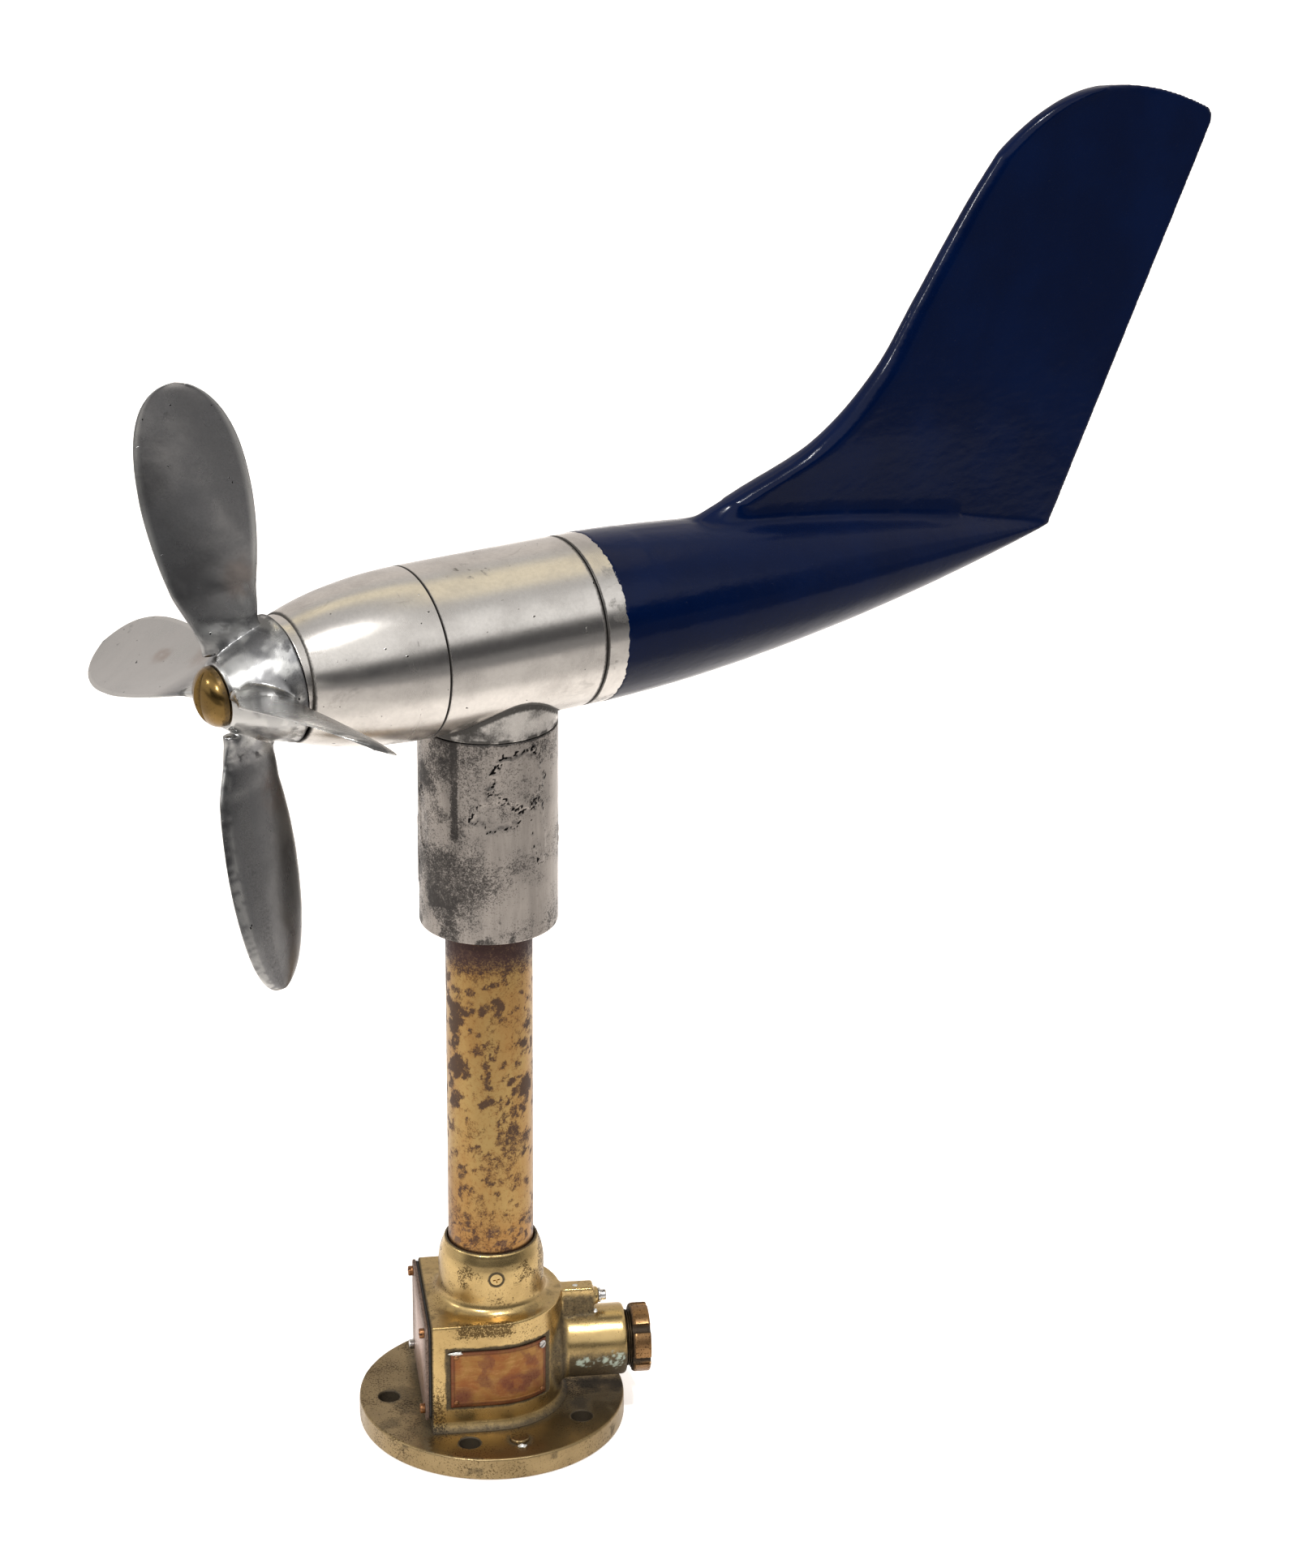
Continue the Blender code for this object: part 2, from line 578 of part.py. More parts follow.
def make_housing(head, axis):
    """The middle of the head: a bored cylinder on a round neck that drops into the skirt."""
    edge = EDGE_BREAK
    length = HEAD_HALF_LENGTH
    housing = turned("head_housing", [
        (0, -length), (HEAD_RADIUS - edge, -length), (HEAD_RADIUS, edge - length),
        (HEAD_RADIUS, length - edge), (HEAD_RADIUS - edge, length), (0, length)], "aluminium", axis)
    neck_bottom = SKIRT_TOP + 0.4
    neck = [(0, NECK_BOTTOM), (SKIRT_BORE - GAP, NECK_BOTTOM), (SKIRT_BORE - GAP, neck_bottom),
            (SKIRT_RADIUS - edge, neck_bottom), (SKIRT_RADIUS, neck_bottom + edge),
            (SKIRT_RADIUS, HEAD_HEIGHT - 20), (0, HEAD_HEIGHT - 20)]
    join(housing, turned("neck_shape", neck, parent=head))
    cut(housing, pocket("housing_bore", HEAD_BORE, -60, 60, axis, ROUND), "MANIFOLD")
    neck_floor = 452
    bore = [(0, 430), (NECK_BORE, 430), (NECK_BORE, neck_floor), (8, neck_floor), (8, 470), (0, 470)]
    cut(housing, turned("neck_bore", bore, parent=head, steps=ROUND - 4), "MANIFOLD")


def make_nose_cowl(axis):
    """The ogive behind the propeller: the outside is part of an ellipse."""
    middle, reach = -45.0, 121.0
    outside = []
    steps = 7
    rear = -HEAD_HALF_LENGTH - GAP
    for step in range(steps + 1):
        along = NOSE_FRONT + (rear - EDGE_BREAK - NOSE_FRONT) * step / steps
        outside.append((HEAD_RADIUS * math.sqrt(1 - ((along - middle) / reach) ** 2), along))
    inside = [(radius - 5.0, along) for radius, along in outside[2:-1]]
    outline = outside + [(HEAD_RADIUS - EDGE_BREAK, rear), (HEAD_BORE - GAP, rear), (HEAD_BORE - GAP, -44),
                         (HEAD_BORE - 4, -44)] + inside[::-1] + [(NOSE_FRONT_RADIUS - 1.2, NOSE_FRONT + 8),
                                                                (NOSE_FRONT_RADIUS - 1.2, NOSE_FRONT)]
    turned("nose_cowl", outline, "aluminium", axis)


def tail_radius(along):
    """The boat tail's radius at a distance behind the column."""
    if along < TAIL_BAND_END:
        return HEAD_RADIUS
    part = min((along - TAIL_BAND_END) / (TAIL_TIP - TAIL_BAND_END), 1.0)
    return HEAD_RADIUS * (1 - part ** TAIL_POWER)


def fin_section(height, inset=0.0):
    """One level section of the fin, or of its hollow where it is inset.

    It has a round leading edge, then flat sides that taper to the trailing edge."""
    front = follow(FIN_LEADING_EDGE, height) + 3 * inset
    back = follow(FIN_TRAILING_EDGE, height) - 4 * inset
    rise = (height - HEAD_HEIGHT) / (FIN_TOP - HEAD_HEIGHT)
    thickness = FIN_ROOT_THICKNESS + (FIN_TIP_THICKNESS - FIN_ROOT_THICKNESS) * rise ** 0.6
    nose = min(thickness / 2, (back - front) * 0.3) - inset
    side = [(front, 0.3)]
    for angle in (35, 62, 90):
        across, along = on_circle(nose, angle)[::-1]
        side.append((front + nose - along, across))
    side.append((back, FIN_EDGE_THICKNESS / 2))
    return [(x, y, height) for x, y in side] + [(x, -y, height) for x, y in side[::-1]]


def make_tail_fin(head, axis):
    """The boat tail and the fin are one hollow casting, open where it plugs into the housing."""
    steps = 12
    front = HEAD_HALF_LENGTH + GAP
    outline = [(0, front), (HEAD_RADIUS - EDGE_BREAK, front), (HEAD_RADIUS, front + EDGE_BREAK)]
    for step in range(steps + 1):
        along = TAIL_BAND_END + (TAIL_TIP - TAIL_BAND_END) * (step / steps) ** 0.85
        outline.append((tail_radius(along), along))
    tail = turned("tail_fin", outline, "navy_paint", axis)
    join(tail, pocket("tail_spigot", HEAD_BORE - GAP, 44, 56, axis, ROUND))
    heights = (514, 530, 548, 566, 584, 604, 628, 655, 685, 712, 733, 740, 746, 754, 761, FIN_TOP)
    join(tail, lofted("fin_shape", [fin_section(height) for height in heights], parent=head))
    hollow = [(0, 40), (HEAD_BORE - 4, 40), (HEAD_BORE - 4, 62)]
    hollow_end = 310
    for step in range(6):
        along = 70 + (hollow_end - 20 - 70) * step / 5
        hollow.append((tail_radius(along) - TAIL_WALL, along))
    hollow.append((0, hollow_end))
    cut(tail, turned("tail_hollow", hollow, parent=axis, steps=ROUND - 4), "MANIFOLD")
    fin_hollow = [fin_section(height, FIN_WALL) for height in heights[:11]]
    cut(tail, lofted("fin_hollow", fin_hollow, parent=head), "MANIFOLD")


def make_drive(head):
    """The rod that carries the head's direction and the generator's current down to the base."""
    rod = [(0, ROD_BOTTOM), (ROD_RADIUS, ROD_BOTTOM), (ROD_RADIUS, ROD_FLANGE_BOTTOM),
           (ROD_FLANGE_RADIUS, ROD_FLANGE_BOTTOM), (ROD_FLANGE_RADIUS, ROD_FLANGE_TOP), (0, ROD_FLANGE_TOP)]
    turned("drive_rod", rod, "steel", head, steps=MIDDLING)
    drum = [(ROD_RADIUS + GAP, DRUM_BOTTOM), (DRUM_RADIUS, DRUM_BOTTOM), (DRUM_RADIUS, DRUM_TOP),
            (ROD_RADIUS + GAP, DRUM_TOP)]
    turned("slip_ring_drum", drum, "bakelite", head, steps=MIDDLING)
    for number, height in enumerate(SLIP_RING_HEIGHTS):
        ring = ring_outline(SLIP_RING_BORE, SLIP_RING_RADIUS, height, height + SLIP_RING_WIDTH)
        turned(f"slip_ring_{number + 1}", ring, "copper", head, steps=MIDDLING)
    rotor = [(0, 14), (4, 14), (4, 18), (15.5, 18), (15.5, 36), (4, 36), (4, 50), (8, 50), (8, 62),
             (ROD_RADIUS + GAP, 62), (ROD_RADIUS + GAP, ROD_BOTTOM - GAP), (0, ROD_BOTTOM - GAP)]
    turned("transmitter_rotor", rotor, "steel", head, steps=MIDDLING)


# ---------------------------------------------------------------- speed generator, in the shaft's frame

def make_generator(shaft_frame, axis):
    """The generator that the shaft turns: its case and cap hold two bearings and the coil."""
    case = [(CASE_HUB_RADIUS, 0.6), (CASE_LIP_RADIUS, 0.6), (CASE_LIP_RADIUS, CASE_NOSE),
            (CASE_RADIUS - 0.6, CASE_NOSE), (CASE_RADIUS, CASE_NOSE + 0.6), (CASE_RADIUS, CASE_BACK),
            (CASE_BORE, CASE_BACK), (CASE_BORE, 14.3), (CASE_HUB_RADIUS, 14.3)]
    turned("generator_case", case, "dull_aluminium", shaft_frame, steps=MIDDLING + 4)
    cap_front = CASE_BACK + GAP
    bearing_back = cap_front + 10
    cap = [(CASE_HUB_RADIUS, cap_front), (CASE_RADIUS, cap_front), (CASE_RADIUS, CAP_BACK),
           (CASE_LIP_RADIUS, CAP_BACK), (CASE_LIP_RADIUS, bearing_back), (CASE_HUB_RADIUS, bearing_back)]
    turned("generator_end_cap", cap, "dull_aluminium", shaft_frame)
    coil = ring_outline(COIL_BORE, COIL_RADIUS, 19, 45)
    turned("generator_coil", coil, "copper", shaft_frame, steps=MIDDLING)
    bearing_bore = SHAFT_RADIUS + BEARING_CLEARANCE
    for name, front, back in (("front_bearing", 0.9, 12), ("rear_bearing", 50.6, 60)):
        bearing = ring_outline(bearing_bore, GENERATOR_BEARING_RADIUS, front, back)
        turned(name, bearing, "steel", shaft_frame, steps=MIDDLING)
    disc = ring_outline(0, BRACKET_RADIUS, BRACKET_FRONT, BRACKET_BACK)
    bracket = turned("generator_bracket", disc, "dull_aluminium", axis)
    cut(bracket, pocket("bracket_bore", CASE_RADIUS + GAP, 20, 90, shaft_frame, ROUND))


# ---------------------------------------------------------------- propeller

def blade_section(part):
    """One section across a blade, part of the way from root to tip.

    The blade points along +X. Its chord lies between the plane of rotation and the shaft's line, and it
    twists, leans and rounds off towards the tip."""
    reach = BLADE_ROOT + (BLADE_TIP - BLADE_ROOT) * part
    chord = follow(((0.0, 29), (0.16, 43), (0.33, 54), (0.5, 61.5), (0.66, 66), (0.82, 70), (1.0, 74)), part)
    chord *= math.sqrt(max(1 - part ** 4.4, 0))
    pitch = math.radians(57 + 19 * (1 - part) ** 1.5)
    lean = 1.5 + 11.5 * part
    forward = -27.5 - 4.5 * min(part / 0.2, 1) - 1.0 * part
    thickness = 6.5 - 4.2 * min(part / 0.55, 1)
    camber = 0.045 * chord
    along = Vector((0, -math.cos(pitch), -math.sin(pitch)))
    across = Vector((0, math.sin(pitch), -math.cos(pitch)))
    centre = Vector((reach, -lean, forward))
    upper, lower = [], []
    for station in (-0.5, -0.45, -0.27, 0.0, 0.27, 0.45, 0.5):
        swell = math.sqrt(max(1 - (2 * station) ** 2, 0)) ** 0.6
        bow = camber * (1 - (2 * station) ** 2)
        middle = centre + along * (chord * station) - across * bow
        half = across * (thickness / 2 * swell)
        upper.append(middle + half)
        lower.append(middle - half)
    return upper + lower[-2:0:-1]


def make_propeller(spin):
    back = [(0, HUB_BACK - 14), (12, HUB_BACK - 14), (24, HUB_BACK - 6), (30, HUB_BACK)]
    front = [(HUB_BACK_RADIUS - 1, HUB_BACK), (HUB_BACK_RADIUS, HUB_BACK - 1.2),
             (HUB_BACK_RADIUS - 3.6, HUB_BACK - 10), (HUB_FRONT_RADIUS + 7.6, HUB_FRONT + 12),
             (HUB_FRONT_RADIUS + 1.6, HUB_FRONT + 1.4), (HUB_FRONT_RADIUS, HUB_FRONT), (0, HUB_FRONT)]
    propeller = turned("propeller", back + front, "aluminium", spin)
    parts = [1 - (1 - step / 9) ** 1.5 for step in range(9)] + [0.994]
    for number in range(BLADE_COUNT):
        blade = lofted(f"blade_shape_{number}", [blade_section(part) for part in parts], parent=spin)
        place(blade, turn=(0, 0, 180 - PROPELLER_REST_ANGLE + 360 / BLADE_COUNT * number))
        join(propeller, blade)
    cut(propeller, pocket("hub_bore", SHAFT_RADIUS + GAP, HUB_FRONT - 5, HUB_BACK + 5, spin))

    shaft = [(0, SHAFT_FRONT), (SHAFT_RADIUS, SHAFT_FRONT), (SHAFT_RADIUS, SHAFT_BACK), (0, SHAFT_BACK)]
    turned("propeller_shaft", shaft, "steel", spin, steps=MIDDLING)
    turned("generator_rotor", ring_outline(SHAFT_RADIUS + GAP, 18.5, 20, 44), "magnet", spin, steps=MIDDLING)
    dome = []
    for step in range(6):
        angle = math.radians(90 * step / 5)
        dome.append((NUT_RADIUS * math.cos(angle), HUB_FRONT - 1.4 - NUT_DOME * math.sin(angle)))
    dome[-1] = (0, dome[-1][1])
    inside = [(0, SHAFT_FRONT - 1.6), (SHAFT_RADIUS + GAP, SHAFT_FRONT - 0.6),
              (SHAFT_RADIUS + GAP, HUB_FRONT - GAP), (NUT_RADIUS, HUB_FRONT - GAP)]
    nut = turned("propeller_nut", inside + dome, "brass", spin, steps=MIDDLING + 4)
    slot_front = HUB_FRONT - 1.4 - NUT_DOME
    groove = [[(-25, -2.3, slot_front - 1), (-25, 2.3, slot_front - 1), (-25, 0, slot_front + 3.6)],
              [(25, -2.3, slot_front - 1), (25, 2.3, slot_front - 1), (25, 0, slot_front + 3.6)]]
    cut(nut, lofted("nut_groove", groove, parent=spin))


# ---------------------------------------------------------------- assembly

def main():
    for old in list(bpy.data.objects):
        bpy.data.objects.remove(old, do_unlink=True)

    head = empty("head_frame", (0, 0, 0), (0, 0, HEAD_REST_ANGLE))
    axis = empty("head_axis_frame", (0, 0, HEAD_HEIGHT), (0, 90, 0), head)
    spin = empty("propeller_frame", (NOSE_FRONT, 0, HEAD_HEIGHT + SHAFT_RISE), (0, 90 - SHAFT_DROOP, 0), head)

    flange = make_flange()
    make_base_plate(flange)
    box = make_terminal_box()
    make_side_cover(box)
    make_nameplate(box)
    make_gland(box)
    make_small_base_parts(box)
    make_base_internals()
    make_column()
    for prefix, bottom in zip(("lower_yaw", "upper_yaw"), BEARING_HEIGHTS):
        make_bearing(prefix, bottom, head)
    make_skirt(head)
    make_housing(head, axis)
    make_nose_cowl(axis)
    make_tail_fin(head, axis)
    make_drive(head)
    make_generator(spin, axis)
    make_propeller(spin)


main()
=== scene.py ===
"""The looks of the vane anemometer: a fine mesh and a procedural finish for each of its pieces.

Lengths are in millimetres and are scaled to metres where meshes are made. Each piece is made in a frame
of its own: the base's is the world, the head's turns with the vane at rest, and turned pieces have their
axis along Z.
"""
import json
import math

import bmesh
import bpy
from mathutils import Matrix, Vector, noise


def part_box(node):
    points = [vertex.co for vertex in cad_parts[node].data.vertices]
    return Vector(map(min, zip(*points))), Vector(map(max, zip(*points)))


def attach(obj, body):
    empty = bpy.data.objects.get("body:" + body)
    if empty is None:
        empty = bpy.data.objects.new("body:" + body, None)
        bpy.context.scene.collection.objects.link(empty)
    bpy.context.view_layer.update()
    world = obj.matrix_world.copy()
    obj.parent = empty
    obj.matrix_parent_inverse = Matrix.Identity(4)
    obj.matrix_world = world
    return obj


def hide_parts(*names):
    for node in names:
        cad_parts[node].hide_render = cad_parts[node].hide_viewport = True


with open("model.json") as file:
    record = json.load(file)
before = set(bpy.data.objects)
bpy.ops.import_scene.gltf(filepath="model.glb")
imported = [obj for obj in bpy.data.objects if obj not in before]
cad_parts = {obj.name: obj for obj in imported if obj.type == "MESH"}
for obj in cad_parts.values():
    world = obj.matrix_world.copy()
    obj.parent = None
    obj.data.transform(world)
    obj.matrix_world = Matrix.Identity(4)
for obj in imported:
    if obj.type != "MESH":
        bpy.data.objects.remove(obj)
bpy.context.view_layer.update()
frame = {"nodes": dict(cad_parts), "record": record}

MM = 0.001

# Points round a turned piece
FINE = 176
MEDIUM = 72

# ---------------------------------------------------------------- places, from the frame

joints = {joint["name"]: joint for joint in frame["record"]["behaviour"]["joints"]}
spin_axis = Vector(joints["propeller_spin"]["axis"]).normalized()
spin_origin = Vector(joints["propeller_spin"]["pos_m"])

HEAD_RADIUS = 49.0
head_yaw = math.atan2(spin_axis.y, spin_axis.x)
head_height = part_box("head_housing")[1].z - HEAD_RADIUS * MM
world_frame = Matrix.Identity(4)
TOWARDS_X = Matrix.Rotation(math.pi / 2, 4, "Y")
TOWARDS_FRONT = Matrix.Rotation(math.pi / 2, 4, "X")
head_frame = Matrix.Rotation(head_yaw, 4, "Z")
axis_frame = head_frame @ Matrix.Translation((0, 0, head_height)) @ TOWARDS_X
spin_frame = (Matrix.Translation(spin_origin) @ head_frame
              @ Matrix.Rotation(math.pi / 2 - math.asin(spin_axis.z), 4, "Y"))

# Base, in millimetres
FLANGE_RADIUS = 80.0
FLANGE_TOP = 14.0
BOLT_CIRCLE = 62.3
BOLT_RADIUS = 6.35
BOLT_HOLES = 5
PLUG_CIRCLE = BOLT_CIRCLE - 2.3
PLUG_ANGLE = 280
BOX_HALF_WIDTH = 44.0
BOX_LEFT = -40.4
BOX_ARC_CENTRE = -2.0
BOX_TOP = 84.0
COVER_HALF_WIDTH = 45.0
COVER_BOTTOM = 20.5
COVER_TOP = 84.0
COVER_CORNER = 5.0
PLATE_REACH = 29.0
PLATE_BOTTOM = 30.0
PLATE_TOP = 67.5
PLATE_WRAP = 44.0
COLLAR_RADIUS = 31.4
COLLAR_TOP = 121.5
COLLAR_SCREW_HEIGHT = 107.0
GLAND_HEIGHT = 44.5
GLAND_RADIUS = 21.6
GLAND_END = 80.5
GLAND_BORE = 7.5
THREAD_RADIUS = 15.6
EARTH_HEIGHT = 75.0
TUBE_RADIUS = 25.3
TUBE_BOTTOM = 88.5
TUBE_TOP = 350.0

# Head
SKIRT_RADIUS = 40.0
SKIRT_BORE = 36.0
SKIRT_BOTTOM = 328.2
SKIRT_TOP = 450.8
SKIRT_FRONT = 90 + math.degrees(head_yaw)
HALF_LENGTH = 50.0
NOSE_FRONT = -127.0
TAIL_TIP = 394.0
TAIL_TAPER = 1.66
TAIL_BAND_END = 62.0
PAINT_START = 63.5
FIN_TOP = 766.5
FIN_BOTTOM = 500.6
FIN_LEADING_EDGE = ((FIN_BOTTOM, 66), (528, 96), (557, 164), (578, 216), (613, 258), (655, 287), (709, 323),
                    (735, 343))
FIN_TRAILING_EDGE = ((500, 392), (620, 447.3), (733, 499.4), (740, 501), (745, 498.2))
FIN_PEAK = 417.0
FIN_ROOT_THICKNESS = 23.0
FIN_TIP_THICKNESS = 10.0
FIN_BACK_HALF = 1.15

# Propeller
HUB_BACK = -4.0
HUB_FRONT = -41.2
HUB_BACK_RADIUS = 36.4
HUB_FRONT_RADIUS = 18.6
BLADE_ROOT = 22.0
BLADE_START = 27.0
BLADE_TIP = 171.8
BLADE_REST_ANGLE = 4.5
BLADE_CHORDS = ((0.0, 30), (0.16, 43), (0.33, 54), (0.5, 61.5), (0.66, 66), (0.82, 70), (1.0, 74))
NUT_RADIUS = 17.1
NUT_DOME = 10.8


# ---------------------------------------------------------------- numbers

def smooth(value, low, high):
    """0 below low and 1 above high, with a soft step between; low may be the larger."""
    part = min(max((value - low) / (high - low), 0.0), 1.0)
    return part * part * (3 - 2 * part)


def wave(point, scale, seed=0.0, octaves=3):
    """Fractal noise of about -1 to 1 at a point in millimetres."""
    return noise.fractal(Vector(point) * scale + Vector((seed, seed * 1.7, -seed)), 0.8, 2.0, octaves)


def on_circle(radius, degrees):
    """A point on a circle, counted from +X."""
    angle = math.radians(degrees)
    return radius * math.cos(angle), radius * math.sin(angle)


def follow(points, place):
    """Reads a smooth curve through (position, value) points at one position."""
    last = len(points) - 2
    span = 0
    while span < last and place > points[span + 1][0]:
        span += 1
    before, start, end, after = (points[max(span - 1, 0)], points[span], points[span + 1],
                                 points[min(span + 2, last + 1)])
    width = end[0] - start[0]
    part = (place - start[0]) / width
    slope_in = (end[1] - before[1]) / (end[0] - before[0]) * width
    slope_out = (after[1] - start[1]) / (after[0] - start[0]) * width
    square, cube = part * part, part * part * part
    return ((2 * cube - 3 * square + 1) * start[1] + (cube - 2 * square + part) * slope_in
            + (3 * square - 2 * cube) * end[1] + (cube - square) * slope_out)


# ---------------------------------------------------------------- outlines

def rounded(corners, fillet=0.5, steps=4):
    """A closed outline with its corners off the axis rounded; a third number sets a corner's own fillet."""
    outline = []
    count = len(corners)
    for index, corner in enumerate(corners):
        here = Vector(corner[:2])
        size = corner[2] if len(corner) > 2 else fillet
        if corner[0] <= 0 or size == 0:
            outline.append(tuple(here))
            continue
        back = Vector(corners[index - 1][:2]) - here
        ahead = Vector(corners[(index + 1) % count][:2]) - here
        size = min(size, back.length * 0.42, ahead.length * 0.42)
        start = here + back.normalized() * size
        end = here + ahead.normalized() * size
        outline.append(tuple(start + back.normalized() * size * 0.15))
        for step in range(steps + 1):
            part = step / steps
            bent = start * (1 - part) ** 2 + here * 2 * part * (1 - part) + end * part ** 2
            outline.append(tuple(bent))
        outline.append(tuple(end + ahead.normalized() * size * 0.15))
    return outline


def dense(outline, step):
    """Adds points so that no edge of a closed outline is longer than the step."""
    points = []
    for start, end in zip(outline, outline[1:] + outline[:1]):
        start, end = Vector(start), Vector(end)
        parts = max(1, math.ceil((end - start).length / step))
        points += [tuple(start.lerp(end, number / parts)) for number in range(parts)]
    return points


# ---------------------------------------------------------------- meshes

def mesh_of(name, points, faces):
    """A mesh from points in millimetres, with its normals outward."""
    mesh = bpy.data.meshes.new(name)
    mesh.from_pydata([Vector(point) * MM for point in points], [], faces)
    shape = bmesh.new()
    shape.from_mesh(mesh)
    bmesh.ops.recalc_face_normals(shape, faces=shape.faces)
    shape.to_mesh(mesh)
    shape.free()
    return mesh


def turned(name, outline, steps=FINE):
    """Spins a closed outline of (radius, height) points about Z."""
    points, faces, rings = [], [], []
    for radius, height in outline:
        if radius <= 1e-6:
            rings.append([len(points)] * steps)
            points.append((0, 0, height))
        else:
            rings.append([len(points) + number for number in range(steps)])
            points += [(*on_circle(radius, 360 * number / steps), height) for number in range(steps)]
    for ring, after in zip(rings, rings[1:] + rings[:1]):
        if ring[0] == ring[1] and after[0] == after[1]:
            continue
        for number in range(steps):
            nearby = (number + 1) % steps
            corners = (ring[number], ring[nearby], after[nearby], after[number])
            faces.append(tuple(dict.fromkeys(corners)))
    return mesh_of(name, points, faces)


def lofted(name, loops):
    """Skins a stack of loops that have the same number of points, and closes both ends."""
    size = len(loops[0])
    points = [point for loop in loops for point in loop]
    faces = [tuple(range(size)), tuple(range(len(points) - size, len(points)))]
    for row in range(len(loops) - 1):
        for index in range(size):
            after = (index + 1) % size
            faces.append((row * size + index, row * size + after, (row + 1) * size + after,
                          (row + 1) * size + index))
    return mesh_of(name, points, faces)


def block(name, low, high, edge):
    """A box with rounded edges."""
    shape = bmesh.new()
    bmesh.ops.create_cube(shape, size=1)
    for vert in shape.verts:
        vert.co = Vector([(low[i] if vert.co[i] < 0 else high[i]) * MM for i in range(3)])
    if edge:
        bmesh.ops.bevel(shape, geom=shape.edges[:], offset=edge * MM, segments=3, affect="EDGES",
                        profile=0.5)
    mesh = bpy.data.meshes.new(name)
    shape.to_mesh(mesh)
    shape.free()
    return mesh


def moved(mesh, matrix):
    """The mesh after a move whose translation is in millimetres."""
    placed = matrix.copy()
    placed.translation = placed.translation * MM
    mesh.transform(placed)
    return mesh


def joined(name, meshes):
    """Several meshes as one, still apart from each other."""
    shape = bmesh.new()
    for mesh in meshes:
        shape.from_mesh(mesh)
    made = bpy.data.meshes.new(name)
    shape.to_mesh(made)
    shape.free()
    return made


def modified(mesh, add):
    """The mesh after the modifiers that add() puts on an object made from it."""
    holder = bpy.data.objects.new("modified", mesh)
    bpy.context.scene.collection.objects.link(holder)
    add(holder)
    view = bpy.context.evaluated_depsgraph_get()
    made = bpy.data.meshes.new_from_object(holder.evaluated_get(view))
    made.name = mesh.name
    bpy.data.objects.remove(holder, do_unlink=True)
    return made


def boolean(mesh, other, operation="DIFFERENCE"):
    """Cuts the other mesh from this one, or unites the two."""
    tool = bpy.data.objects.new("tool", other)
    bpy.context.scene.collection.objects.link(tool)

    def add(holder):
        change = holder.modifiers.new("boolean", "BOOLEAN")
        change.operation = operation
        change.object = tool
        change.solver = "MANIFOLD"

    made = modified(mesh, add)
    bpy.data.objects.remove(tool, do_unlink=True)
    return made


def cast(mesh, voxel, passes):
    """Melts overlapping closed shapes into one skin, with the soft inside corners of a casting."""
    def add(holder):
        melt = holder.modifiers.new("melt", "REMESH")
        melt.mode = "VOXEL"
        melt.voxel_size = voxel * MM
        melt.use_smooth_shade = True
        soften = holder.modifiers.new("soften", "SMOOTH")
        soften.factor = 0.5
        soften.iterations = passes

    return modified(mesh, add)


def shift(mesh, rule):
    """Moves each vertex along its normal by rule(point in mm, normal), in millimetres."""
    normals = [vert.normal.copy() for vert in mesh.vertices]
    for vert, normal in zip(mesh.vertices, normals):
        vert.co += normal * (rule(vert.co / MM, normal) * MM)
    mesh.update()


def paint(mesh, name, rule):
    """Stores rule(point in mm, normal) on each vertex, for the materials to read."""
    layer = mesh.attributes.new(name, "FLOAT", "POINT")
    for vert, value in zip(mesh.vertices, layer.data):
        value.value = min(max(rule(vert.co / MM, vert.normal), 0.0), 1.0)


def piece(name, mesh, place, body, finish, nodes=(), sharp=32):
    """Places the mesh as a piece of the object that stands for the nodes named.

    Each vertex keeps its place in the piece's own frame, which the grain of its finish follows.
    """
    made = bpy.data.objects.new(name, mesh)
    mesh.name = name
    mesh.materials.clear()
    mesh.materials.append(finish)
    own = mesh.attributes.new("own_place", "FLOAT_VECTOR", "POINT")
    for vert, value in zip(mesh.vertices, own.data):
        value.vector = vert.co
    mesh.transform(place)
    mesh.shade_smooth()
    if sharp:
        mesh.set_sharp_from_angle(angle=math.radians(sharp))
    bpy.context.scene.collection.objects.link(made)
    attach(made, body)
    if nodes:
        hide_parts(*nodes)


# ---------------------------------------------------------------- materials

def tint(red, green, blue):
    """A display colour of 0 to 255 as the linear colour that shaders take."""
    def linear(value):
        value /= 255
        return value / 12.92 if value <= 0.04045 else ((value + 0.055) / 1.055) ** 2.4

    return linear(red), linear(green), linear(blue)


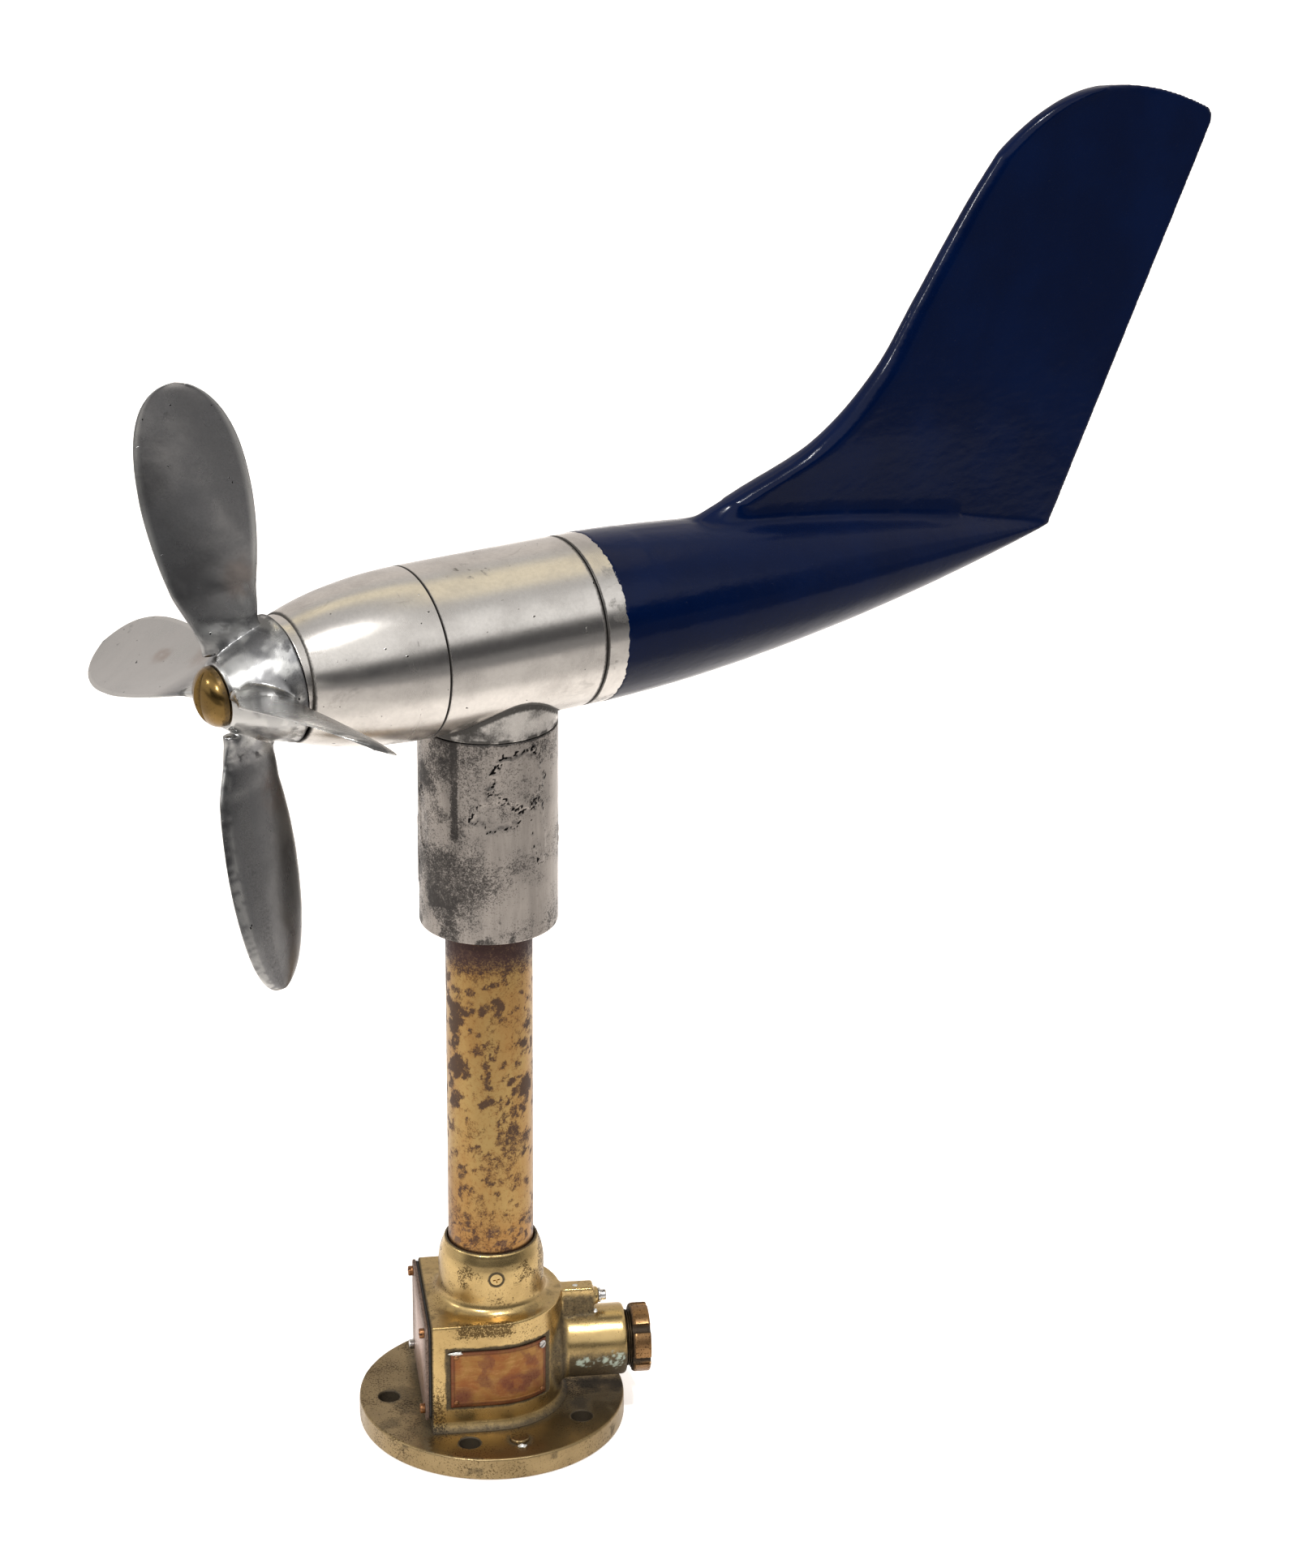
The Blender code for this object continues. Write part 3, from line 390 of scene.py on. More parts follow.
class Graph:
    """A node tree, with short ways to add the nodes that vary a colour over a surface or the sky."""

    def __init__(self, tree, colour):
        self.nodes = tree.nodes
        self.links = tree.links
        self.shade = colour

    def feed(self, socket, value):
        """Gives a socket a constant, or a link from another socket."""
        if isinstance(value, bpy.types.NodeSocket):
            self.links.new(value, socket)
        elif isinstance(value, tuple) and socket.type == "RGBA":
            socket.default_value = (*value, 1)
        else:
            socket.default_value = value

    def band(self, value, low, high, start=0.0, end=1.0):
        """The value as start below low and end above high, with a soft step between."""
        node = self.nodes.new("ShaderNodeMapRange")
        node.interpolation_type = "SMOOTHSTEP"
        self.feed(node.inputs["Value"], value)
        node.inputs["From Min"].default_value = low
        node.inputs["From Max"].default_value = high
        node.inputs["To Min"].default_value = start
        node.inputs["To Max"].default_value = end
        return node.outputs["Result"]

    def maths(self, operation, first, second):
        node = self.nodes.new("ShaderNodeMath")
        node.operation = operation
        self.feed(node.inputs[0], first)
        self.feed(node.inputs[1], second)
        return node.outputs["Value"]

    def times(self, first, second):
        return self.maths("MULTIPLY", first, second)

    def plus(self, first, second):
        return self.maths("ADD", first, second)

    def most(self, first, second):
        return self.maths("MAXIMUM", first, second)

    def layer(self, colour, cover, amount=1.0):
        """Lays a colour over what is there already, as thickly as the cover and the amount say."""
        if amount != 1.0:
            cover = self.times(cover, amount)
        node = self.nodes.new("ShaderNodeMix")
        node.data_type = "RGBA"
        self.feed(node.inputs[0], cover)
        self.feed(node.inputs[6], self.shade)
        self.feed(node.inputs[7], colour)
        self.shade = node.outputs[2]


class Finish(Graph):
    """A Principled material for a piece."""

    def __init__(self, name, colour, roughness, metallic=1.0, own_frame=False):
        self.material = bpy.data.materials.new(name)
        self.material.use_nodes = True
        self.material.diffuse_color = (*colour, 1)
        super().__init__(self.material.node_tree, colour)
        self.shader = self.nodes["Principled BSDF"]
        self.set("Base Color", colour)
        self.set("Roughness", roughness)
        self.set("Metallic", metallic)
        if own_frame:
            node = self.nodes.new("ShaderNodeAttribute")
            node.attribute_name = "own_place"
            self.place = node.outputs["Vector"]
        else:
            self.place = self.nodes.new("ShaderNodeTexCoord").outputs["Object"]

    def set(self, name, value):
        self.feed(self.shader.inputs[name], value)

    def noise(self, scale, detail=4.0, rough=0.55, warp=0.0, stretch=(1, 1, 1)):
        """Noise from 0 to 1; the scale is in features a metre, times the stretch along each axis."""
        mapping = self.nodes.new("ShaderNodeMapping")
        self.links.new(self.place, mapping.inputs["Vector"])
        mapping.inputs["Scale"].default_value = stretch
        node = self.nodes.new("ShaderNodeTexNoise")
        self.links.new(mapping.outputs["Vector"], node.inputs["Vector"])
        node.inputs["Scale"].default_value = scale
        node.inputs["Detail"].default_value = detail
        node.inputs["Roughness"].default_value = rough
        node.inputs["Distortion"].default_value = warp
        return node.outputs["Fac"]

    def cells(self, scale):
        """The distance to the nearest of scattered points, 0 at each point."""
        node = self.nodes.new("ShaderNodeTexVoronoi")
        self.links.new(self.place, node.inputs["Vector"])
        node.inputs["Scale"].default_value = scale
        return node.outputs["Distance"]

    def painted(self, name):
        """What paint() stored on the mesh under this name."""
        node = self.nodes.new("ShaderNodeAttribute")
        node.attribute_name = name
        return node.outputs["Fac"]

    def bump(self, height, distance, strength=1.0, under=None):
        """Relief of this depth in millimetres, on top of another relief."""
        node = self.nodes.new("ShaderNodeBump")
        node.inputs["Distance"].default_value = distance * MM
        node.inputs["Strength"].default_value = strength
        self.feed(node.inputs["Height"], height)
        if under is not None:
            self.links.new(under, node.inputs["Normal"])
        return node.outputs["Normal"]


def brushed_aluminium(name):
    """Bare turned aluminium: fine brushing round the axis, cloudy stains, pits and scratches."""
    pale, dark, soot_and_shade = tint(212, 207, 200), tint(150, 145, 140), tint(34, 32, 30)
    finish = Finish(name, pale, 0.215, own_frame=True)
    clouds = finish.band(finish.noise(22, 5, 0.6), 0.42, 0.72)
    mottle = finish.band(finish.noise(420, 3, 0.7), 0.3, 0.75)
    brushing = finish.noise(160, 4, 0.7, stretch=(1, 1, 30))
    pits = finish.band(finish.noise(260, 2, 0.5, stretch=(1.2, 1.0, 1.0)), 0.735, 0.77)
    smears = finish.band(finish.noise(34, 6, 0.75, 1.2, stretch=(1.6, 1.6, 0.5)), 0.60, 0.70)
    ragged = finish.plus(finish.times(finish.noise(700, 3, 0.7), 0.5), finish.painted("grime_and_shade"))
    dirt_and_shade = finish.band(ragged, 0.45, 0.95)
    finish.layer(dark, clouds, 0.5)
    finish.layer(dark, mottle, 0.16)
    finish.layer(dark, smears, 0.35)
    # Grime from the mesh, with the painted shade it carries on the head's underside and in the crease under
    # the barrel.
    finish.layer(soot_and_shade, dirt_and_shade, 0.85)
    finish.layer(soot_and_shade, pits)
    finish.set("Base Color", finish.shade)
    wear = finish.plus(finish.times(clouds, 0.10), finish.times(brushing, 0.10))
    wear = finish.plus(wear, finish.times(dirt_and_shade, 0.30))
    finish.set("Roughness", finish.plus(wear, 0.165))
    relief = finish.bump(brushing, 0.012)
    relief = finish.bump(pits, 0.12, 0.8, relief)
    finish.set("Normal", finish.bump(finish.noise(60, 3, 0.5), 0.10, 0.5, relief))
    return finish.material


def oxidised_aluminium(name):
    """A rough casting: pale metal under grey-black mottling, dense where the mesh is painted with grime and
    shade.
    """
    pale, dark = tint(176, 168, 160), tint(32, 31, 32)
    finish = Finish(name, pale, 0.42, own_frame=True)
    clouds = finish.noise(34, 5, 0.62)
    grains = finish.noise(1000, 3, 0.75)
    flecks = finish.noise(300, 5, 0.72, 0.4)
    # The mesh's grime and its painted shade on the skirt's left side make the dark spots and blots denser
    # there.
    cover = finish.plus(finish.painted("grime_and_shade"), finish.times(finish.band(clouds, 0.42, 0.70), 0.42))
    spots = finish.band(finish.plus(grains, finish.times(cover, 0.34)), 0.64, 0.78)
    blots = finish.band(finish.plus(flecks, finish.times(cover, 0.26)), 0.62, 0.76)
    brushing = finish.noise(110, 5, 0.75, stretch=(1, 1, 0.12))
    turning = finish.noise(130, 4, 0.7, stretch=(1, 1, 9))
    finish.layer(tint(132, 126, 120), finish.band(brushing, 0.35, 0.70, 0.0, 0.55))
    finish.layer(tint(120, 116, 112), finish.band(clouds, 0.36, 0.66), 0.30)
    finish.layer(dark, spots, 0.66)
    finish.layer(dark, blots, 0.50)
    finish.layer(tint(20, 19, 19), finish.band(finish.painted("crack"), 0.15, 0.6))
    finish.set("Base Color", finish.shade)
    finish.set("Roughness", finish.plus(finish.times(spots, 0.22), 0.36))
    relief = finish.bump(turning, 0.02)
    relief = finish.bump(grains, 0.05, 0.7, relief)
    finish.set("Normal", finish.bump(flecks, 0.12, 0.6, relief))
    return finish.material


def blade_aluminium(name):
    """Polished but dulled cast aluminium, blue-grey, with brown stains, grime and painted shade, and painted
    highlights.
    """
    base = tint(150, 149, 148)
    finish = Finish(name, base, 0.27, own_frame=True)
    clouds = finish.band(finish.noise(26, 4, 0.55, 0.3), 0.34, 0.70)
    speckle = finish.noise(800, 3, 0.8)
    pits = finish.band(finish.noise(300, 2, 0.5), 0.74, 0.77)
    rusty = finish.times(finish.painted("rust"), finish.band(finish.noise(90, 4, 0.6), 0.30, 0.60))
    dirt_and_shade = finish.band(finish.plus(finish.painted("grime_and_shade"), finish.times(speckle, 0.5)), 0.55, 1.0)
    finish.layer(tint(104, 105, 108), clouds, 0.55)
    finish.layer(tint(60, 62, 66), finish.band(speckle, 0.35, 0.8), 0.22)
    # Painted highlights from the mesh: a sheen on the hub, lighter side blades and bright blade rims.
    finish.layer(tint(205, 204, 200), finish.painted("painted_highlight"), 0.75)
    finish.layer(tint(134, 108, 90), rusty, 0.55)
    # Grime, and painted shade where the blades meet the hub and along blade 2.
    finish.layer(tint(44, 44, 45), dirt_and_shade, 0.7)
    finish.layer(tint(30, 30, 31), pits)
    finish.set("Base Color", finish.shade)
    wear = finish.plus(finish.times(dirt_and_shade, 0.3), 0.22)
    finish.set("Roughness", finish.plus(finish.times(clouds, 0.10), wear))
    relief = finish.bump(finish.noise(220, 4, 0.7, stretch=(1, 1, 2.5)), 0.02)
    relief = finish.bump(pits, 0.15, 0.8, relief)
    finish.set("Normal", finish.bump(finish.noise(60, 3, 0.5), 0.22, 0.5, relief))
    return finish.material


def aged_brass(name, colour, deep, stain, roughness, spotting=0.5):
    """Old polished brass: warm and uneven in colour, dark with grime and painted shade in the recesses,
    speckled with corrosion.
    """
    finish = Finish(name, colour, roughness)
    clouds = finish.band(finish.noise(24, 4, 0.55, 0.5), 0.36, 0.68)
    drift = finish.band(finish.noise(90, 4, 0.6), 0.40, 0.74)
    grains = finish.noise(850, 3, 0.8)
    blots = finish.noise(240, 4, 0.68, 0.4)
    dots = finish.band(finish.noise(420, 2, 0.5), 0.70, 0.74)
    specks = finish.band(finish.plus(finish.times(finish.painted("speckle"), 0.30), grains), 0.66, 0.76)
    scratches = finish.band(finish.noise(240, 5, 0.8, 1.5, stretch=(1, 1, 0.16)), 0.63, 0.68)
    mottle = finish.times(finish.plus(blots, grains), 0.42)
    dirt_and_shade = finish.band(finish.plus(finish.painted("grime_and_shade"), mottle), 0.55, 1.25)
    finish.layer(deep, clouds, 0.55)
    finish.layer(stain, drift, spotting * 0.5)
    finish.layer(tint(52, 36, 22), specks, 0.8)
    finish.layer(tint(70, 52, 30), scratches, 0.35)
    # Grime, and the painted shade that the mesh carries in creases and recesses and under the gland boss.
    finish.layer(tint(46, 39, 30), dirt_and_shade, 0.9)
    finish.layer(tint(50, 30, 18), dots, spotting)
    finish.set("Base Color", finish.shade)
    wear = finish.plus(finish.times(clouds, 0.08), finish.times(dirt_and_shade, 0.34))
    finish.set("Roughness", finish.plus(wear, finish.plus(finish.times(specks, 0.2), roughness - 0.03)))
    finish.set("Metallic", finish.band(dirt_and_shade, 0.2, 1.0, 1.0, 0.55))
    relief = finish.bump(finish.noise(500, 4, 0.75, stretch=(1, 1, 2)), 0.015)
    relief = finish.bump(specks, 0.06, -0.6, relief)
    finish.set("Normal", finish.bump(finish.noise(55, 4, 0.5), 0.20, 0.6, relief))
    return finish


def add_verdigris(brass):
    """Pale green flakes of corrosion where the mesh is painted with verdigris."""
    flake = brass.times(brass.painted("verdigris"), brass.band(brass.noise(500, 3, 0.7), 0.30, 0.45))
    brass.layer(tint(156, 166, 150), flake)
    brass.set("Base Color", brass.shade)
    metal = brass.shader.inputs["Metallic"].links[0].from_socket
    brass.set("Metallic", brass.times(metal, brass.band(flake, 0.0, 0.6, 1.0, 0.0)))


def tube_brass(name):
    """The column's brass: yellow-orange, with brown corrosion spots, rings and streaks."""
    base = tint(166, 139, 89)
    finish = Finish(name, base, 0.36)
    clouds = finish.band(finish.noise(26, 5, 0.6, stretch=(1, 1, 0.5)), 0.36, 0.66)
    blots = finish.noise(70, 6, 0.66, 0.9)
    flecks = finish.noise(300, 4, 0.7, 0.5)
    grains = finish.noise(900, 3, 0.8)
    mottle = finish.times(finish.plus(flecks, grains), 0.5)
    cover = finish.plus(finish.times(finish.painted("spots"), 0.30), mottle)
    core = finish.band(cover, 0.62, 0.74)
    own = finish.band(finish.plus(finish.times(blots, 0.6), finish.times(grains, 0.4)), 0.54, 0.66)
    # Grime, and painted shade on the top of the tube under the skirt.
    dirt_and_shade = finish.band(finish.plus(finish.painted("grime_and_shade"), grains), 0.85, 1.5)
    finish.layer(tint(152, 113, 65), clouds, 0.7)
    finish.layer(tint(144, 100, 56), finish.band(flecks, 0.44, 0.72), 0.35)
    finish.layer(tint(158, 112, 66), finish.painted("pink"), 0.75)
    finish.layer(tint(108, 74, 48), finish.band(cover, 0.52, 0.68), 0.60)
    finish.layer(tint(62, 42, 32), core, 0.85)
    finish.layer(tint(92, 62, 42), own, 0.65)
    finish.layer(tint(56, 34, 34), dirt_and_shade, 0.85)
    finish.set("Base Color", finish.shade)
    finish.set("Roughness", finish.plus(finish.times(finish.most(core, own), 0.25), 0.33))
    finish.set("Metallic", finish.band(finish.most(core, dirt_and_shade), 0.0, 1.0, 1.0, 0.55))
    relief = finish.bump(finish.noise(260, 4, 0.7, stretch=(1, 1, 5)), 0.015)
    relief = finish.bump(finish.most(core, own), 0.10, -0.8, relief)
    finish.set("Normal", finish.bump(finish.noise(45, 3, 0.5), 0.16, 0.5, relief))
    return finish.material


def navy_paint(name):
    """Thick glossy navy paint, with brush ridges, orange peel and a few raised specks."""
    finish = Finish(name, tint(0, 12, 43), 0.13, 0.0, own_frame=True)
    peel = finish.noise(260, 3, 0.6)
    ridges = finish.noise(90, 4, 0.6, 0.3, stretch=(0.5, 1, 1.2))
    specks = finish.band(finish.cells(70), 0.05, 0.02)
    finish.layer(tint(0, 16, 51), finish.band(finish.noise(18, 4, 0.5), 0.35, 0.7))
    finish.layer(tint(120, 125, 150), finish.band(finish.noise(1500, 2, 0.6), 0.66, 0.74), 0.04)
    finish.set("Base Color", finish.shade)
    finish.set("Roughness", finish.plus(finish.times(peel, 0.12), 0.10))
    relief = finish.bump(peel, 0.09, 0.5)
    relief = finish.bump(ridges, 0.20, 0.5, relief)
    finish.set("Normal", finish.bump(specks, 0.12, 0.6, relief))
    finish.set("Specular IOR Level", 0.15)
    return finish.material


def plain_metal(name, colour, dark, roughness, metallic=1.0):
    """A small part's finish: slight clouds and grain, grimier where the noise is high."""
    finish = Finish(name, colour, roughness, metallic)
    clouds = finish.band(finish.noise(260, 4, 0.6), 0.38, 0.70)
    grains = finish.noise(1400, 3, 0.7)
    finish.layer(dark, clouds, 0.7)
    finish.layer(dark, finish.band(grains, 0.5, 0.8), 0.25)
    finish.set("Base Color", finish.shade)
    finish.set("Roughness", finish.plus(finish.times(clouds, 0.15), roughness - 0.04))
    finish.set("Normal", finish.bump(grains, 0.03))
    return finish.material


def nameplate_copper(name):
    """A thin orange-copper plate, blank, with a dark border line and purple-brown stains."""
    finish = Finish(name, tint(139, 103, 60), 0.34)
    smudge = finish.painted("smudge")
    clouds = finish.band(finish.noise(70, 5, 0.6, 0.6), 0.36, 0.66)
    grains = finish.noise(900, 3, 0.8)
    streaks = finish.noise(210, 5, 0.75, stretch=(0.6, 1, 2))
    mottle = finish.plus(finish.times(streaks, 0.4), finish.times(grains, 0.4))
    stain = finish.band(finish.plus(finish.times(smudge, 0.55), mottle), 0.45, 0.95)
    specks = finish.band(finish.plus(finish.times(grains, 0.7), finish.times(smudge, 0.15)), 0.50, 0.60)
    finish.layer(tint(128, 82, 50), clouds)
    finish.layer(tint(176, 136, 88), finish.band(streaks, 0.48, 0.70), 0.35)
    finish.layer(tint(104, 62, 56), stain, 0.75)
    finish.layer(tint(76, 40, 30), specks, 0.55)
    finish.layer(tint(48, 30, 24), finish.painted("border"), 0.85)
    finish.set("Base Color", finish.shade)
    finish.set("Roughness", finish.plus(finish.times(stain, 0.2), 0.30))
    relief = finish.bump(streaks, 0.03, 0.6)
    finish.set("Normal", finish.bump(specks, 0.04, -0.6, relief))
    return finish.material


# ---------------------------------------------------------------- base pieces

def box_outline(grow, height):
    """The terminal box in plan: flat on the left, straight sides and a half-round right end."""
    left = BOX_LEFT - 0.4 * min(grow, 0)
    reach = BOX_HALF_WIDTH + grow
    points = [(left, -reach, height)]
    steps = 48
    for step in range(steps + 1):
        x, y = on_circle(reach, -90 + 180 * step / steps)
        points.append((BOX_ARC_CENTRE + x, y, height))
    points.append((left, reach, height))
    return points


def bolt_places():
    """The centres of the flange's bolt holes; the first is under the side cover."""
    return [on_circle(BOLT_CIRCLE, 180 + 360 / BOLT_HOLES * number) for number in range(BOLT_HOLES)]


def make_flange(finish):
    """The round flange: worn at its rim and stained in clouds, with painted shade round the box and in its
    five bolt holes, and a painted shadow under the gland boss.
    """
    outline = dense(rounded([(34, 4.3, 0), (44.3, 4.3, 0), (44.3, 0, 0), (FLANGE_RADIUS, 0, 1.3),
                             (FLANGE_RADIUS, FLANGE_TOP, 1.5), (34, FLANGE_TOP, 0)]), 3.0)
    mesh = turned("base_flange", outline)

    def wear(point, normal):
        rim = smooth(math.hypot(point.x, point.y), FLANGE_RADIUS - 6, FLANGE_RADIUS)
        rim *= smooth(point.z, 0.4, 1.5)
        return rim * (0.16 * wave(point, 0.06, 3) - 0.25 * max(0, wave(point, 0.13, 9) - 0.45))

    shift(mesh, wear)
    for x, y in bolt_places():
        cutter = turned("bolt_hole", [(0, -2), (BOLT_RADIUS, -2), (BOLT_RADIUS, FLANGE_TOP - 0.6),
                                      (BOLT_RADIUS + 0.9, FLANGE_TOP + 0.35), (BOLT_RADIUS + 0.9, 20),
                                      (0, 20)], 56)
        mesh = boolean(mesh, moved(cutter, Matrix.Translation((x, y, 0))))

    def grime_and_shade(point, normal):
        foot = min(abs(point.x - BOX_LEFT), 99)
        round_box = math.hypot(max(point.x - BOX_ARC_CENTRE, 0), point.y) - BOX_HALF_WIDTH
        # Painted shade on the flange round the foot of the box.
        shade_near_box = smooth(round_box, 15, 0) if point.x > BOX_LEFT - 2 else smooth(foot, 16, 0)
        on_top = smooth(normal.z, 0.4, 0.9)
        # A painted shadow on the flange under the gland boss, ragged at its edge.
        shadow_under_boss = smooth(abs(point.y + 12), 44, 8) * smooth(point.x, 30, 50)
        shadow_under_boss *= 0.7 + 0.5 * wave(point, 0.07, 52)
        # Painted shade round the mouths of the bolt holes and on their bores.
        hole = 0.0
        for x, y in bolt_places():
            hole = max(hole, smooth(math.hypot(point.x - x, point.y - y), 7.6, 6.5))
        stain = smooth(wave(point, 0.035, 5), 0.05, 0.6)
        x, y = on_circle(PLUG_CIRCLE, PLUG_ANGLE)
        plug = smooth(math.hypot(point.x - x, point.y - y), 12, 6)
        top = max(0.62 * shade_near_box, 0.85 * shadow_under_boss, 0.46 * stain, 0.95 * hole, 0.6 * plug)
        edge = 0.5 * smooth(wave(point, 0.09, 2), 0.35, 0.7)
        bore = 1.3 if hole > 0.5 and abs(normal.z) < 0.9 else 0.0
        return max(bore, on_top * top + (1 - on_top) * edge)

    paint(mesh, "grime_and_shade", grime_and_shade)
    paint(mesh, "speckle", lambda point, normal: 0.35 + 0.4 * wave(point, 0.05, 12))
    piece("flange_casting", mesh, world_frame, "base", finish, ["base_flange"])


def make_plug(finish):
    """The small plug in the flange's face."""
    x, y = on_circle(PLUG_CIRCLE, PLUG_ANGLE)
    outline = rounded([(0, 10), (5.9, 10), (5.9, FLANGE_TOP + 2.4, 0.9), (0, FLANGE_TOP + 2.6)], steps=6)
    mesh = turned("flange_plug", dense(outline, 0.7), MEDIUM)
    shift(mesh, lambda point, normal: 0.14 * wave(point, 0.35, 4))
    paint(mesh, "grime_and_shade", lambda point, normal: smooth(point.z, FLANGE_TOP + 1.0, FLANGE_TOP))
    paint(mesh, "speckle", lambda point, normal: 0.5)
    mesh = moved(mesh, Matrix.Translation((x, y, 0)))
    piece("flange_plug_fine", mesh, world_frame, "base", finish, ["flange_plug"])


def make_box(finish):
    """The terminal box with its collar, gland boss and earth lug, melted into one casting."""
    foot = [(FLANGE_TOP - 0.3, 5.2), (FLANGE_TOP + 0.8, 2.9), (FLANGE_TOP + 2.4, 1.2), (FLANGE_TOP + 5, 0)]
    brow = [(BOX_TOP - 0.5, 0), (BOX_TOP, -0.5)]
    shell = lofted("shell", [box_outline(grow, height) for height, grow in foot + brow])
    collar = turned("collar", [
        (0, BOX_TOP - 4), (COLLAR_RADIUS + 7, BOX_TOP - 4), (COLLAR_RADIUS + 6.5, BOX_TOP - 0.1),
        (COLLAR_RADIUS + 3.4, BOX_TOP + 0.9), (COLLAR_RADIUS + 1.2, BOX_TOP + 2.9),
        (COLLAR_RADIUS + 0.2, BOX_TOP + 6.0), (COLLAR_RADIUS, BOX_TOP + 9), (COLLAR_RADIUS, 107),
        (COLLAR_RADIUS - 0.5, 111), (COLLAR_RADIUS - 1.4, 115), (COLLAR_RADIUS - 2.6, 118.4),
        (COLLAR_RADIUS - 3.2, 119.6), (COLLAR_RADIUS - 3.4, 121.0), (COLLAR_RADIUS - 4.2, COLLAR_TOP),
        (0, COLLAR_TOP)], 128)
    sideways = Matrix.Translation((0, 0, GLAND_HEIGHT)) @ TOWARDS_X
    boss = moved(turned("boss", rounded([
        (0, 0), (GLAND_RADIUS + 4, 0, 0), (GLAND_RADIUS + 4, 39.5, 0), (GLAND_RADIUS + 1.2, 41.4, 0),
        (GLAND_RADIUS, 44.4, 0), (GLAND_RADIUS, GLAND_END, 2.6), (0, GLAND_END)], steps=6), 128), sideways)
    lug = block("lug", (20, -5.6, 54), (61.5, 5.6, BOX_TOP - 1), 1.0)
    lug_web = block("lug_web", (20, -7.0, 54), (50, 7.0, BOX_TOP - 6), 2.0)
    eye_place = Matrix.Translation((0, 0, EARTH_HEIGHT)) @ TOWARDS_X
    eye = moved(turned("eye", rounded([(0, 40), (5.4, 40, 0), (5.4, 64.5, 1.0), (0, 64.5)]), 48), eye_place)
    mesh = cast(joined("terminal_box", [shell, collar, boss, lug, lug_web, eye]), 0.75, 6)

    socket = turned("socket", [(0, 112), (TUBE_RADIUS + 0.35, 112), (TUBE_RADIUS + 0.35, 117.5),
                               (TUBE_RADIUS + 1.1, 122.5), (0, 122.5)], 128)
    mesh = boolean(mesh, socket)
    bore = turned("bore", [(0, 30), (14.3, 30), (14.3, GLAND_END - 0.8), (15.4, GLAND_END + 0.4),
                           (15.4, GLAND_END + 3), (0, GLAND_END + 3)], 96)
    mesh = boolean(mesh, moved(bore, sideways))
    sink = turned("sink", [(0, -6), (2.4, -6), (2.4, -2.4), (4.0, -0.15), (4.0, 3), (0, 3)], 48)
    front = Matrix.Translation((0, -COLLAR_RADIUS, COLLAR_SCREW_HEIGHT)) @ TOWARDS_FRONT
    mesh = boolean(mesh, moved(sink, front))
    shift(mesh, lambda point, normal: 0.10 * wave(point, 0.05, 7))

    def grime_and_shade(point, normal):
        reach = math.hypot(point.x, point.y)
        # Painted shade along the foot where the box meets the flange, where the gland boss joins the box, and
        # on and beside the earth lug.
        foot_crease_shade = smooth(point.z, FLANGE_TOP + 9, FLANGE_TOP - 1) * 0.85
        boss_reach = math.hypot(point.y, point.z - GLAND_HEIGHT)
        boss_root_shade = smooth(point.x, 47.5, 41) * smooth(boss_reach, 36, 24) * smooth(point.x, 20, 36)
        shade_beside_lug = smooth(abs(point.y), 16, 6) * smooth(point.z, 60, 66) * smooth(point.z, 83, 76)
        shade_beside_lug *= smooth(point.x, 40, 44) * smooth(point.x, 66, 60)
        # Painted shade on the lower half of the gland boss.
        shadow_under_boss = smooth(point.x, 42, 46) * smooth(point.z, GLAND_HEIGHT + 13, GLAND_HEIGHT - 4)
        neck = smooth(point.z, 119.5, 121.2) * smooth(reach, COLLAR_RADIUS - 3.2, COLLAR_RADIUS - 4.4) * 0.8
        shelf = smooth(point.z, BOX_TOP - 1.0, BOX_TOP) * smooth(point.z, BOX_TOP + 4, BOX_TOP + 1)
        shelf *= 0.35 + 0.45 * smooth(wave(point, 0.07, 21), 0.0, 0.5)
        screw_reach = math.hypot(point.x, point.z - COLLAR_SCREW_HEIGHT)
        screw_rim = smooth(abs(screw_reach - 4.2), 1.3, 0.4) * 0.9 if point.y < -20 else 0.0
        plate_edge = 0.0
        if point.y < -20:
            wide = abs(point.x) - PLATE_REACH - 2
            tall = max(PLATE_BOTTOM - 1 - point.z, point.z - PLATE_TOP - 1)
            ragged = 2.2 + 1.4 * wave(point, 0.11, 27)
            plate_edge = smooth(max(wide, tall), ragged, 0.2) * 0.95
        back_edge = smooth(point.x, BOX_LEFT + 2.5, BOX_LEFT) * 0.9
        return max(foot_crease_shade, 0.75 * boss_root_shade, 0.7 * shade_beside_lug, 0.8 * shadow_under_boss, neck, 0.6 * shelf,
                   screw_rim, 0.8 * plate_edge, back_edge)

    def speckle(point, normal):
        front_edge = smooth(point.y, -38, -42) * smooth(point.z, 72, 78) * smooth(abs(point.x + 8), 24, 12)
        collar_side = smooth(point.z, BOX_TOP + 4, BOX_TOP + 10) * smooth(wave(point, 0.06, 31), -0.1, 0.45)
        low_left = smooth(point.x, -26, -36) * smooth(point.z, 60, 30) * 0.8
        return max(0.95 * front_edge, 0.75 * collar_side, low_left, 0.25 + 0.3 * wave(point, 0.05, 8))

    def verdigris(point, normal):
        if point.x < 44 or point.y > 2:
            return 0.0
        angle = math.degrees(math.atan2(point.z - GLAND_HEIGHT, -point.y))
        ridge = wave(point, 0.20, 40)
        first = smooth(math.hypot((point.x - 54) / 5.5, (angle + 9) / 10) + 0.5 * ridge, 1.1, 0.8)
        second = smooth(math.hypot((point.x - 71.5) / 8.0, (angle + 8) / 13) + 0.7 * ridge, 1.1, 0.8)
        return max(first, second) * smooth(wave(point, 0.34, 46), -0.30, 0.25)

    paint(mesh, "grime_and_shade", grime_and_shade)
    paint(mesh, "speckle", speckle)
    paint(mesh, "verdigris", verdigris)
    piece("terminal_box_casting", mesh, world_frame, "base", finish, ["terminal_box"], sharp=48)


